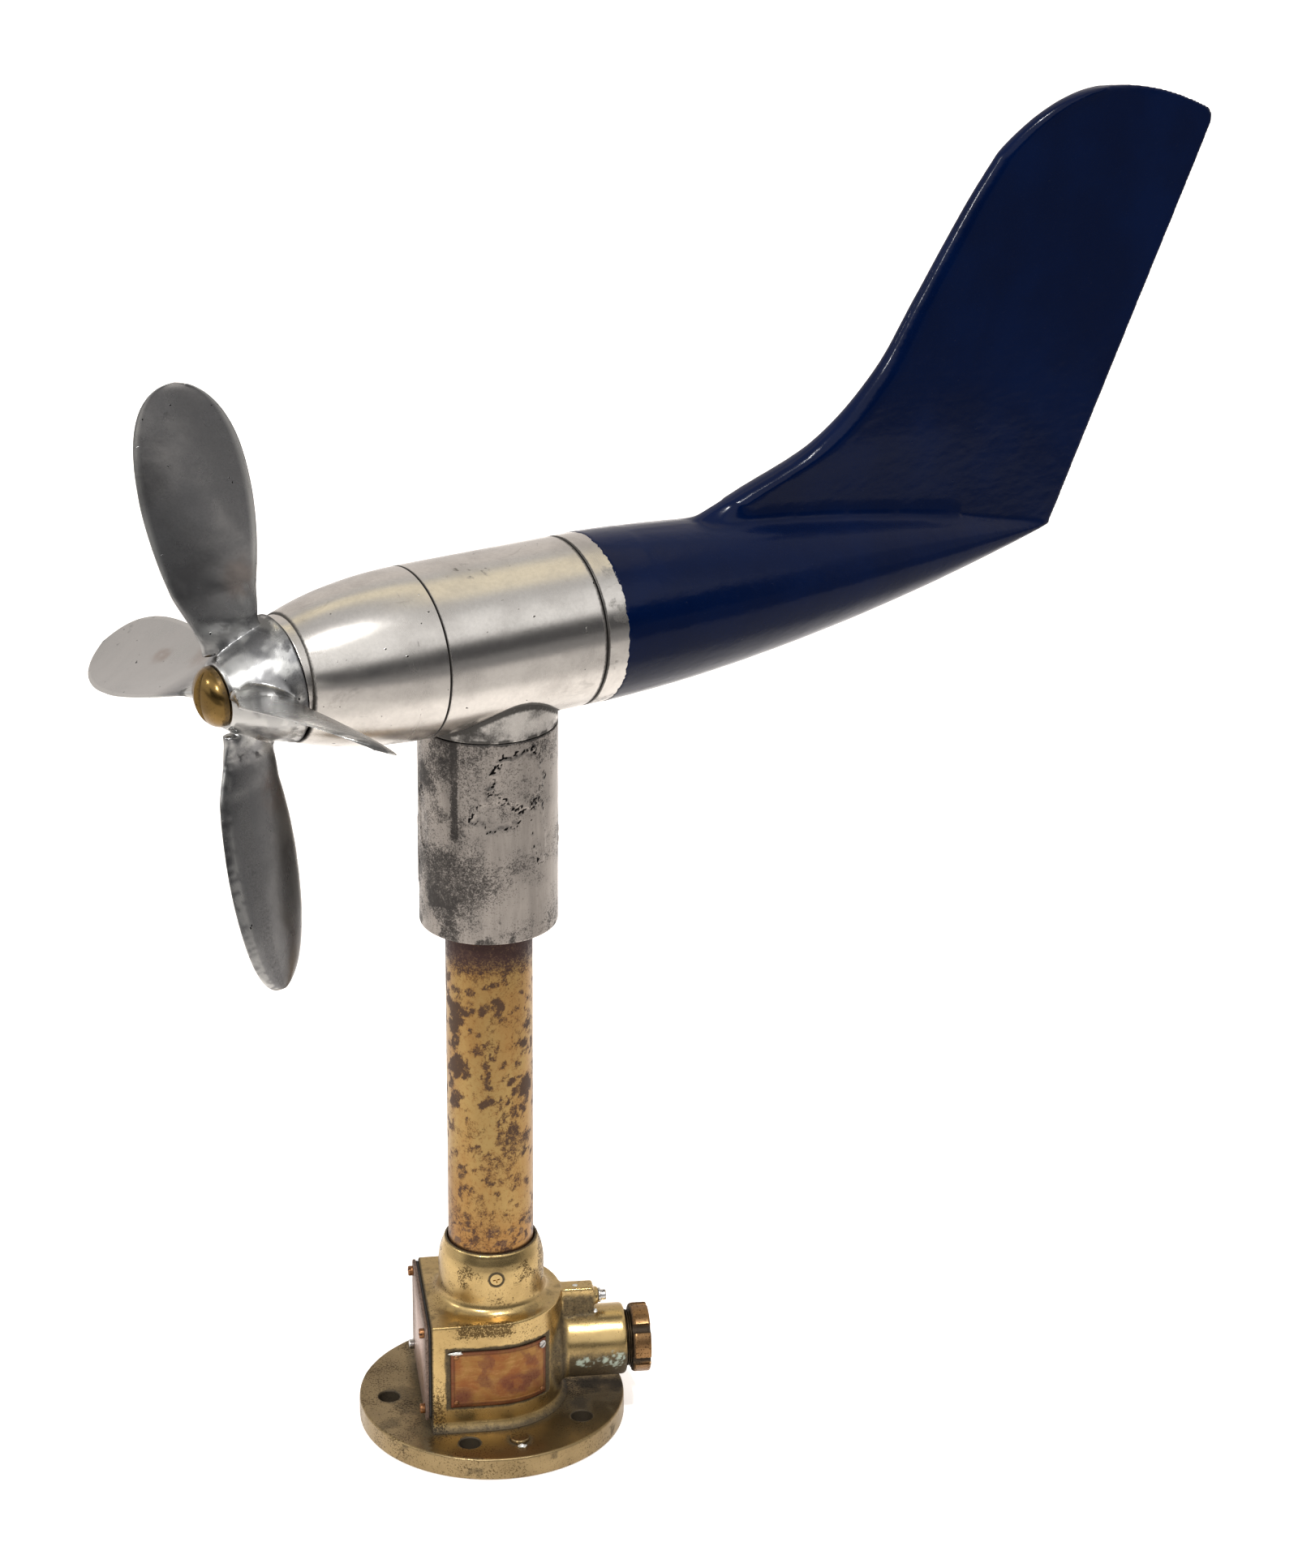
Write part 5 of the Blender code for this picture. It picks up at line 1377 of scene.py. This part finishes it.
def blade_shape(reach):
    """A blade's chord, its centre and the directions along and across the chord, at a distance out."""
    part = min(max((reach - BLADE_START) / (BLADE_TIP - BLADE_START), 0.0), 1.0)
    chord = follow(BLADE_CHORDS, part)
    chord *= math.sqrt(max(1 - part ** 4.4, 0.0004))
    chord += 9 * smooth(reach, 38, 24)
    pitch = math.radians(57 + 19 * (1 - part) ** 1.5)
    forward = -27.5 - 4.5 * min(part / 0.2, 1) - 1.0 * part + 3.0 * smooth(reach, 36, 24)
    centre = Vector((reach, -1.5 - 11.5 * part, forward))
    along = Vector((0, -math.cos(pitch), -math.sin(pitch)))
    across = Vector((0, math.sin(pitch), -math.cos(pitch)))
    return part, chord, centre, along, across


def blade_turn(number):
    """The angle in degrees from the first blade's design place to a blade at rest."""
    return 180 - BLADE_REST_ANGLE + 90 * number


def blade_section(reach):
    """One section across a blade at a distance from the shaft, in the propeller's frame."""
    part, chord, centre, along, across = blade_shape(reach)
    thickness = 2.2 + 3.2 * smooth(part, 0.5, 0.0) + 5.5 * smooth(reach, 42, 24)
    camber = 0.045 * chord
    upper, lower = [], []
    stations = 34
    for step in range(stations + 1):
        station = -0.5 * math.cos(math.pi * step / stations)
        swell = max(1 - (2 * station) ** 2, 0) ** 0.32
        bow = camber * (1 - (2 * station) ** 2)
        middle = centre + along * (chord * station) - across * bow
        half = across * (thickness / 2 * swell)
        upper.append(middle + half)
        lower.append(middle - half)
    return upper + lower[-2:0:-1]


def soften_hub(mesh):
    """Rounds the corners where the blades leave the hub, by smoothing only there."""
    shape = bmesh.new()
    shape.from_mesh(mesh)
    long_edges = [edge for edge in shape.edges if edge.calc_length() > 2.2 * MM
                  and math.hypot(*(sum((vert.co for vert in edge.verts), Vector()) / 2).xy) < 48 * MM]
    bmesh.ops.subdivide_edges(shape, edges=long_edges, cuts=1)
    bmesh.ops.triangulate(shape, faces=[face for face in shape.faces if len(face.verts) > 4])
    corner = []
    for vert in shape.verts:
        reach, height = vert.co.xy.length / MM, vert.co.z / MM
        part = (height - HUB_FRONT) / (HUB_BACK - HUB_FRONT)
        skin = HUB_FRONT_RADIUS + (HUB_BACK_RADIUS - HUB_FRONT_RADIUS) * part ** 0.8 if part > 0 else 99
        if -4 < reach - skin < 8 and 0.06 < part < 0.93:
            corner.append(vert)
    relax(mesh, shape, corner, 24)


def make_propeller(finish):
    """The hub and its four blades, united, with the corners between them softened."""
    hub = turned("hub", dense(rounded([
        (0, HUB_BACK - 14), (12, HUB_BACK - 14), (24, HUB_BACK - 7), (31, HUB_BACK, 0.5),
        (HUB_BACK_RADIUS, HUB_BACK, 1.0), (HUB_BACK_RADIUS - 3.6, HUB_BACK - 11, 4),
        (HUB_FRONT_RADIUS + 7.6, HUB_FRONT + 12, 4), (HUB_FRONT_RADIUS + 1.4, HUB_FRONT + 1.6, 1.0),
        (HUB_FRONT_RADIUS, HUB_FRONT, 0.6), (0, HUB_FRONT)]), 1.5), 144)
    blades = []
    steps = 74
    for number in range(4):
        loops = [blade_section(BLADE_ROOT + (BLADE_TIP - BLADE_ROOT) * (1 - (1 - step / steps) ** 1.5))
                 for step in range(steps + 1)]
        turn = Matrix.Rotation(math.radians(blade_turn(number)), 4, "Z")
        blades.append(moved(lofted("blade", loops), turn))
    mesh = hub
    for blade in blades:
        mesh = boolean(mesh, blade, "UNION")
    soften_hub(mesh)

    def local(point):
        """The blade that a point is on, its distance out, its place on the chord from -1 to 1, its height."""
        angle = (math.degrees(math.atan2(point.y, point.x)) - 180 + BLADE_REST_ANGLE) % 360
        blade = round(angle / 90) % 4
        flat = Matrix.Rotation(-math.radians(blade_turn(blade)), 4, "Z") @ point
        _, chord, centre, along, _ = blade_shape(flat.x)
        return blade, flat.x, 2 * (flat - centre).dot(along) / chord, flat.z

    def relief(point, normal):
        reach = math.hypot(point.x, point.y)
        lumps = 0.10 * wave(point, 0.06, 9)
        hub_lumps = 0.16 * wave(point, 0.10, 19) * smooth(reach, 46, 30)
        return lumps + hub_lumps

    shift(mesh, relief)

    def grime_and_shade(point, normal):
        reach = math.hypot(point.x, point.y)
        blade, out, across, depth = local(point)
        # Painted shade in the corners where the blades leave the hub.
        root = smooth(reach, 44, 37) * smooth(reach, 30, 36) * smooth(wave(point, 0.12, 2), -0.25, 0.3)
        edge = smooth(wave(point, 0.15, 44), 0.2, 0.7) * smooth(abs(across), 0.78, 0.97) * 0.5
        back_rim = smooth(point.z, HUB_BACK - 2.4, HUB_BACK - 0.4) * smooth(reach, 30, 33) * 0.8
        # A stain near the first blade's root, and painted shade along the middle of blade 2.
        stain_and_shade_patch = smooth(math.hypot((out - 36) / 7, (depth + 12) / 7), 1.1, 0.5) if blade == 0 else 0.0
        if blade == 2:
            stain_and_shade_patch = 0.55 * smooth(abs(across - 0.42), 0.42, 0.1)
        tip = smooth(out, 135, 168) * smooth(wave(point, 0.06, 61), -0.1, 0.5) * 0.7
        return max(0.7 * root, edge, back_rim, 0.8 * stain_and_shade_patch, tip)

    def painted_highlight(point, normal):
        # Painted highlights: a sheen on the hub, lighter side blades, bright rims along the blade edges and
        # lighter places near the roots.
        reach = math.hypot(point.x, point.y)
        blade, out, across, depth = local(point)
        hub_highlight = smooth(reach, 44, 34) * smooth(wave(point, 0.07, 13), -0.3, 0.2)
        side_blade_highlight = 0.75 * smooth(reach, 40, 60) if blade in (1, 3) else 0.0
        rim = smooth(abs(across), 0.86, 0.94) * smooth(reach, 44, 60)
        if blade == 2 and across > 0:
            rim = smooth(across, 0.70, 0.82) * smooth(wave((out * 3, 0, depth * 0.3), 0.5, 6), -0.5, 0.2)
        root = smooth(reach, 78, 50) * smooth(wave(point, 0.05, 3), 0.0, 0.5) * 0.6
        return max(hub_highlight, side_blade_highlight, rim, root)

    def rust(point, normal):
        blade, out, across, _ = local(point)
        root = smooth(math.hypot((out - 62) / 16, (across + 0.6) / 0.5), 1.1, 0.3)
        spot = 0.0
        if blade in (1, 3):
            spot = smooth(math.hypot((out - 104) / 10, (across + 0.2) / 0.25), 1.1, 0.4)
        return max(0.6 * root, 0.8 * spot)

    paint(mesh, "grime_and_shade", grime_and_shade)
    paint(mesh, "painted_highlight", painted_highlight)
    paint(mesh, "rust", rust)
    piece("propeller_fine", mesh, spin_frame, "propeller", finish, ["propeller"],
          sharp=0)


def make_nut(finish):
    """The domed nut, with a groove across it."""
    front = HUB_FRONT - 1.4
    outline = [(0, HUB_FRONT + 6), (8, HUB_FRONT + 6), (8, HUB_FRONT - 0.2),
               (NUT_RADIUS - 0.6, HUB_FRONT - 0.2), (NUT_RADIUS, HUB_FRONT - 0.7), (NUT_RADIUS, front)]
    steps = 28
    for step in range(1, steps):
        turn = math.pi / 2 * step / steps
        outline.append((NUT_RADIUS * math.cos(turn), front - NUT_DOME * math.sin(turn)))
    outline.append((0, front - NUT_DOME))
    mesh = turned("propeller_nut", outline, 144)
    depth, half = 6.4, 4.2
    top = front - NUT_DOME
    loops = []
    for x in range(-26, 27, 2):
        mouth = top - depth * 0.6
        loops.append([(x, -half * 1.6, mouth), (x, half * 1.6, mouth), (x, 0.25, top + depth),
                      (x, -0.25, top + depth)])
    mesh = boolean(mesh, lofted("groove", loops))

    def grime_and_shade(point, normal):
        reach = math.hypot(point.x, point.y)
        dome = front - NUT_DOME * math.sqrt(max(1 - (reach / NUT_RADIUS) ** 2, 0))
        # Painted shade in the groove; the rim of the dome is darker too.
        groove = 1.3 * smooth(point.z - dome, 0.2, 1.6) * smooth(abs(point.y), 5, 3)
        return max(groove, smooth(reach, NUT_RADIUS - 1.2, NUT_RADIUS) * 0.5)

    paint(mesh, "grime_and_shade", grime_and_shade)
    paint(mesh, "speckle", lambda point, normal: 0.25)
    piece("propeller_nut_fine", mesh, spin_frame, "propeller", finish,
          ["propeller_nut"], sharp=30)


# ---------------------------------------------------------------- the inner pieces, shown as they are

def refinish(finishes):
    """Gives each node its slot's procedural material."""
    slots = {part["node"]: part["material_slot"] for part in frame["record"]["subparts"]}
    for name, node in frame["nodes"].items():
        finish = finishes[slots[name]]
        node.data.materials.clear()
        node.data.materials.append(finish)


# ---------------------------------------------------------------- studio

CAMERA_TURN = math.radians(8.165)
CAMERA_PITCH = math.radians(22.389)
CAMERA_ROLL = math.radians(0.543)
CAMERA_PLACE = (0.0918, -2.1624, 1.3029)
CAMERA_LENS = 94.28
FLOOR_REACH = 14.0
FLOOR_DROP = 0.0005
FLOOR_GLOW = 0.48
SURROUNDINGS_GLOW = 0.18


def make_camera():
    """A long lens two metres away, a little to one side of the nameplate, looking down at the object."""
    forward = Vector((0, math.cos(CAMERA_PITCH), -math.sin(CAMERA_PITCH)))
    right = Vector((1, 0, 0))
    up = right.cross(forward)
    rolled_right = right * math.cos(CAMERA_ROLL) + up * math.sin(CAMERA_ROLL)
    rolled_up = up * math.cos(CAMERA_ROLL) - right * math.sin(CAMERA_ROLL)
    turn = Matrix.Rotation(-CAMERA_TURN, 3, "Z")
    columns = [turn @ axis for axis in (rolled_right, rolled_up, -forward)]
    rotation = Matrix(columns).transposed().to_4x4()
    camera = bpy.data.objects.new("camera", bpy.data.cameras.new("camera"))
    camera.data.sensor_width = 36
    camera.data.lens = CAMERA_LENS
    camera.data.clip_end = 100
    place = turn @ Vector(CAMERA_PLACE)
    camera.matrix_world = Matrix.Translation(place) @ rotation
    bpy.context.scene.collection.objects.link(camera)
    bpy.context.scene.camera = camera


def make_sheet(name, height, paper):
    """A level sheet of paper, as wide as the studio."""
    paper.set("Normal", paper.bump(paper.noise(900, 3), 0.02, 0.3))
    shape = bmesh.new()
    bmesh.ops.create_grid(shape, x_segments=8, y_segments=8, size=FLOOR_REACH)
    mesh = bpy.data.meshes.new(name)
    shape.to_mesh(mesh)
    shape.free()
    mesh.materials.append(paper.material)
    sheet = bpy.data.objects.new(name, mesh)
    sheet.location.z = height
    bpy.context.scene.collection.objects.link(sheet)
    return sheet


def make_floor():
    """The plain pale floor that is seen, over a sheet whose light reaches the object.

    The sheet is greyer in front and to the sides, as a studio's dim surroundings are, which gives the
    polished metal something to reflect.
    """
    white, grey, glow = tint(250, 246, 243), tint(104, 104, 106), tint(255, 250, 246)
    plain = Finish("floor_paper", white, 0.9, 0.0)
    plain.set("Emission Color", glow)
    plain.set("Emission Strength", FLOOR_GLOW)
    floor = make_sheet("floor", -FLOOR_DROP, plain)
    floor.visible_diffuse = False
    floor.visible_glossy = False
    floor.visible_transmission = False
    floor.visible_shadow = False
    paper = Finish("surroundings_paper", white, 0.9, 0.0)
    split = paper.nodes.new("ShaderNodeSeparateXYZ")
    paper.links.new(paper.place, split.inputs["Vector"])
    turned_x = paper.times(split.outputs["X"], math.sin(CAMERA_TURN))
    depth = paper.plus(turned_x, paper.times(split.outputs["Y"], math.cos(CAMERA_TURN)))
    turned_y = paper.times(split.outputs["Y"], -math.sin(CAMERA_TURN))
    across = paper.plus(turned_y, paper.times(split.outputs["X"], math.cos(CAMERA_TURN)))
    sideways = paper.plus(across, paper.times(depth, -0.30))
    near = paper.times(paper.band(depth, -1.15, -1.50), paper.band(sideways, 0.9, 0.5))
    near = paper.most(near, paper.band(depth, -0.20, -0.48, 0.0, 0.40))
    aside = paper.most(paper.band(sideways, 1.50, 1.95), paper.band(sideways, 0.42, 0.66, 0.0, 0.55))
    aside = paper.most(aside, paper.band(across, -0.55, -0.80, 0.0, 0.5))
    near = paper.most(near, aside)
    paper.layer(grey, near)
    paper.set("Base Color", paper.shade)
    paper.set("Emission Color", glow)
    paper.set("Emission Strength", paper.band(near, 0.0, 1.0, SURROUNDINGS_GLOW, 0.0))
    make_sheet("surroundings", -2 * FLOOR_DROP, paper)


class Sky(Graph):
    """The studio round the object, as light that depends on the direction."""

    def __init__(self, colour):
        world = bpy.data.worlds.new("studio")
        bpy.context.scene.world = world
        world.use_nodes = True
        super().__init__(world.node_tree, colour)
        split = self.nodes.new("ShaderNodeSeparateXYZ")
        self.links.new(self.nodes.new("ShaderNodeTexCoord").outputs["Generated"], split.inputs["Vector"])
        self.x, self.y, self.up = split.outputs["X"], split.outputs["Y"], split.outputs["Z"]

    def facing(self, degrees):
        """How far a direction points towards a compass angle, seen from the camera's side as 0."""
        angle = math.radians(degrees) + CAMERA_TURN
        return self.plus(self.times(self.x, -math.sin(angle)), self.times(self.y, -math.cos(angle)))

    def belt(self, low, high, soft):
        """1 where a direction rises between low and high, with soft edges."""
        above = self.band(self.up, low - soft, low + soft)
        return self.times(above, self.band(self.up, high + soft, high - soft))


def make_sky():
    """A pale backdrop, a wide window above the camera, a dark gap under it and a warm strip behind."""
    sky = Sky((0.62, 0.62, 0.63))
    front, back, left = sky.facing(0), sky.facing(180), sky.facing(90)
    sky.layer((0.42, 0.41, 0.40), sky.belt(-1.0, 0.45, 0.12))
    sky.layer((0.80, 0.75, 0.72), sky.times(sky.band(back, -0.1, 0.4), sky.belt(-1.0, 0.66, 0.10)))
    sky.layer((1.14, 1.14, 1.15), sky.times(sky.band(front, 0.0, 0.25), sky.belt(0.34, 0.80, 0.08)))
    sky.layer((0.055, 0.055, 0.06), sky.times(sky.band(front, 0.05, 0.35), sky.belt(-1.0, 0.32, 0.07)))
    sky.layer((1.15, 1.04, 0.80), sky.times(sky.band(back, 0.05, 0.2), sky.belt(0.80, 0.92, 0.035)))
    sky.layer((0.95, 0.95, 0.95), sky.times(sky.band(left, 0.80, 0.92), sky.belt(0.05, 0.45, 0.08)))
    sky.links.new(sky.shade, sky.nodes["Background"].inputs["Color"])


def make_lamp(name, towards, energy, degrees):
    """A distant lamp in a direction, as wide as this many degrees."""
    lamp = bpy.data.objects.new(name, bpy.data.lights.new(name, "SUN"))
    lamp.data.energy = energy
    lamp.data.angle = math.radians(degrees)
    lamp.rotation_mode = "QUATERNION"
    lamp.rotation_quaternion = Vector(towards).to_track_quat("Z", "Y")
    bpy.context.scene.collection.objects.link(lamp)


def make_studio():
    """The floor, the sky and three soft lamps."""
    make_floor()
    make_sky()
    make_lamp("lamp_front", (-0.379, -0.683, 0.619), 1.2, 3.5)
    make_lamp("lamp_above", (0.126, -0.373, 0.918), 1.1, 3.5)
    make_lamp("lamp_left", (-0.87, -0.02, 0.49), 0.3, 5)
    bpy.context.scene.view_settings.view_transform = "Standard"


# ---------------------------------------------------------------- assembly

def main():
    """Makes the finishes, every visible piece, the camera and the studio."""
    brass = aged_brass("base_brass_aged", tint(194, 167, 115), tint(166, 139, 90), tint(122, 100, 67), 0.27)
    add_verdigris(brass)
    flange_brass = aged_brass("flange_brass_aged", tint(152, 132, 96), tint(128, 109, 76), tint(98, 82, 60),
                              0.34).material
    cover_brass = aged_brass("cover_brass_aged", tint(178, 152, 138), tint(158, 126, 112), tint(126, 96, 82),
                             0.32, 0.4).material
    nut_brass = aged_brass("nut_brass_aged", tint(150, 116, 78), tint(124, 90, 58), tint(92, 68, 46), 0.33,
                           0.6).material
    dome_brass = aged_brass("dome_brass_aged", tint(138, 112, 66), tint(112, 88, 50), tint(86, 64, 38), 0.16,
                            0.3).material
    brown = plain_metal("screw_brass_dull", tint(146, 104, 70), tint(70, 46, 34), 0.42)
    silver = plain_metal("steel_bright", tint(205, 203, 200), tint(120, 112, 104), 0.26)
    thread = plain_metal("thread_brass_dark", tint(74, 62, 46), tint(30, 26, 22), 0.55)
    solder = plain_metal("solder_white", tint(222, 222, 218), tint(168, 168, 160), 0.34, 0.6)
    head = brushed_aluminium("head_aluminium_brushed")
    inner = plain_metal("inner_aluminium_dull", tint(96, 94, 90), tint(58, 56, 54), 0.5)
    rubber = plain_metal("rubber_black", tint(34, 32, 30), tint(18, 17, 16), 0.75, 0.0)
    felt = plain_metal("felt_brown", tint(92, 82, 70), tint(52, 46, 40), 0.95, 0.0)
    skirt = oxidised_aluminium("skirt_aluminium_oxidised")
    blades = blade_aluminium("blade_aluminium_dulled")
    navy = navy_paint("navy_paint_gloss")
    tube = tube_brass("tube_brass_corroded")
    plate = nameplate_copper("nameplate_copper_stained")
    finishes = {
        "base_brass": flange_brass, "tube_brass": tube, "cover_brass": cover_brass, "plate_copper": plate,
        "screw_brass": brown, "nut_brass": nut_brass, "head_aluminium": head, "blade_aluminium": blades,
        "propeller_nut_brass": dome_brass, "skirt_aluminium": skirt, "inner_aluminium": inner,
        "navy_paint": navy, "steel": silver,
        "bearing_steel": plain_metal("bearing_steel_polished", tint(200, 200, 204), tint(140, 140, 146),
                                     0.15),
        "gasket_rubber": rubber, "felt": felt,
        "copper": plain_metal("copper_wire", tint(200, 118, 80), tint(140, 74, 48), 0.3),
        "bakelite": plain_metal("bakelite_brown", tint(74, 42, 26), tint(44, 24, 16), 0.35, 0.0),
        "carbon": plain_metal("carbon_black", tint(46, 46, 48), tint(26, 26, 28), 0.6, 0.0),
        "magnet_steel": plain_metal("magnet_grey", tint(96, 96, 100), tint(60, 60, 64), 0.45),
    }
    refinish(finishes)
    make_flange(flange_brass)
    make_plug(flange_brass)
    make_box(brass.material)
    make_cover(cover_brass, rubber)
    make_base_screws(brown, silver, brass.material)
    make_nameplate(plate, brown, silver)
    make_gland(nut_brass, thread, rubber)
    make_solder(solder)
    make_column(tube)
    make_skirt(skirt, felt)
    make_housing(head)
    make_cowl(head)
    make_tail(head, navy)
    make_propeller(blades)
    make_nut(dome_brass)
    make_camera()
    make_studio()


main()
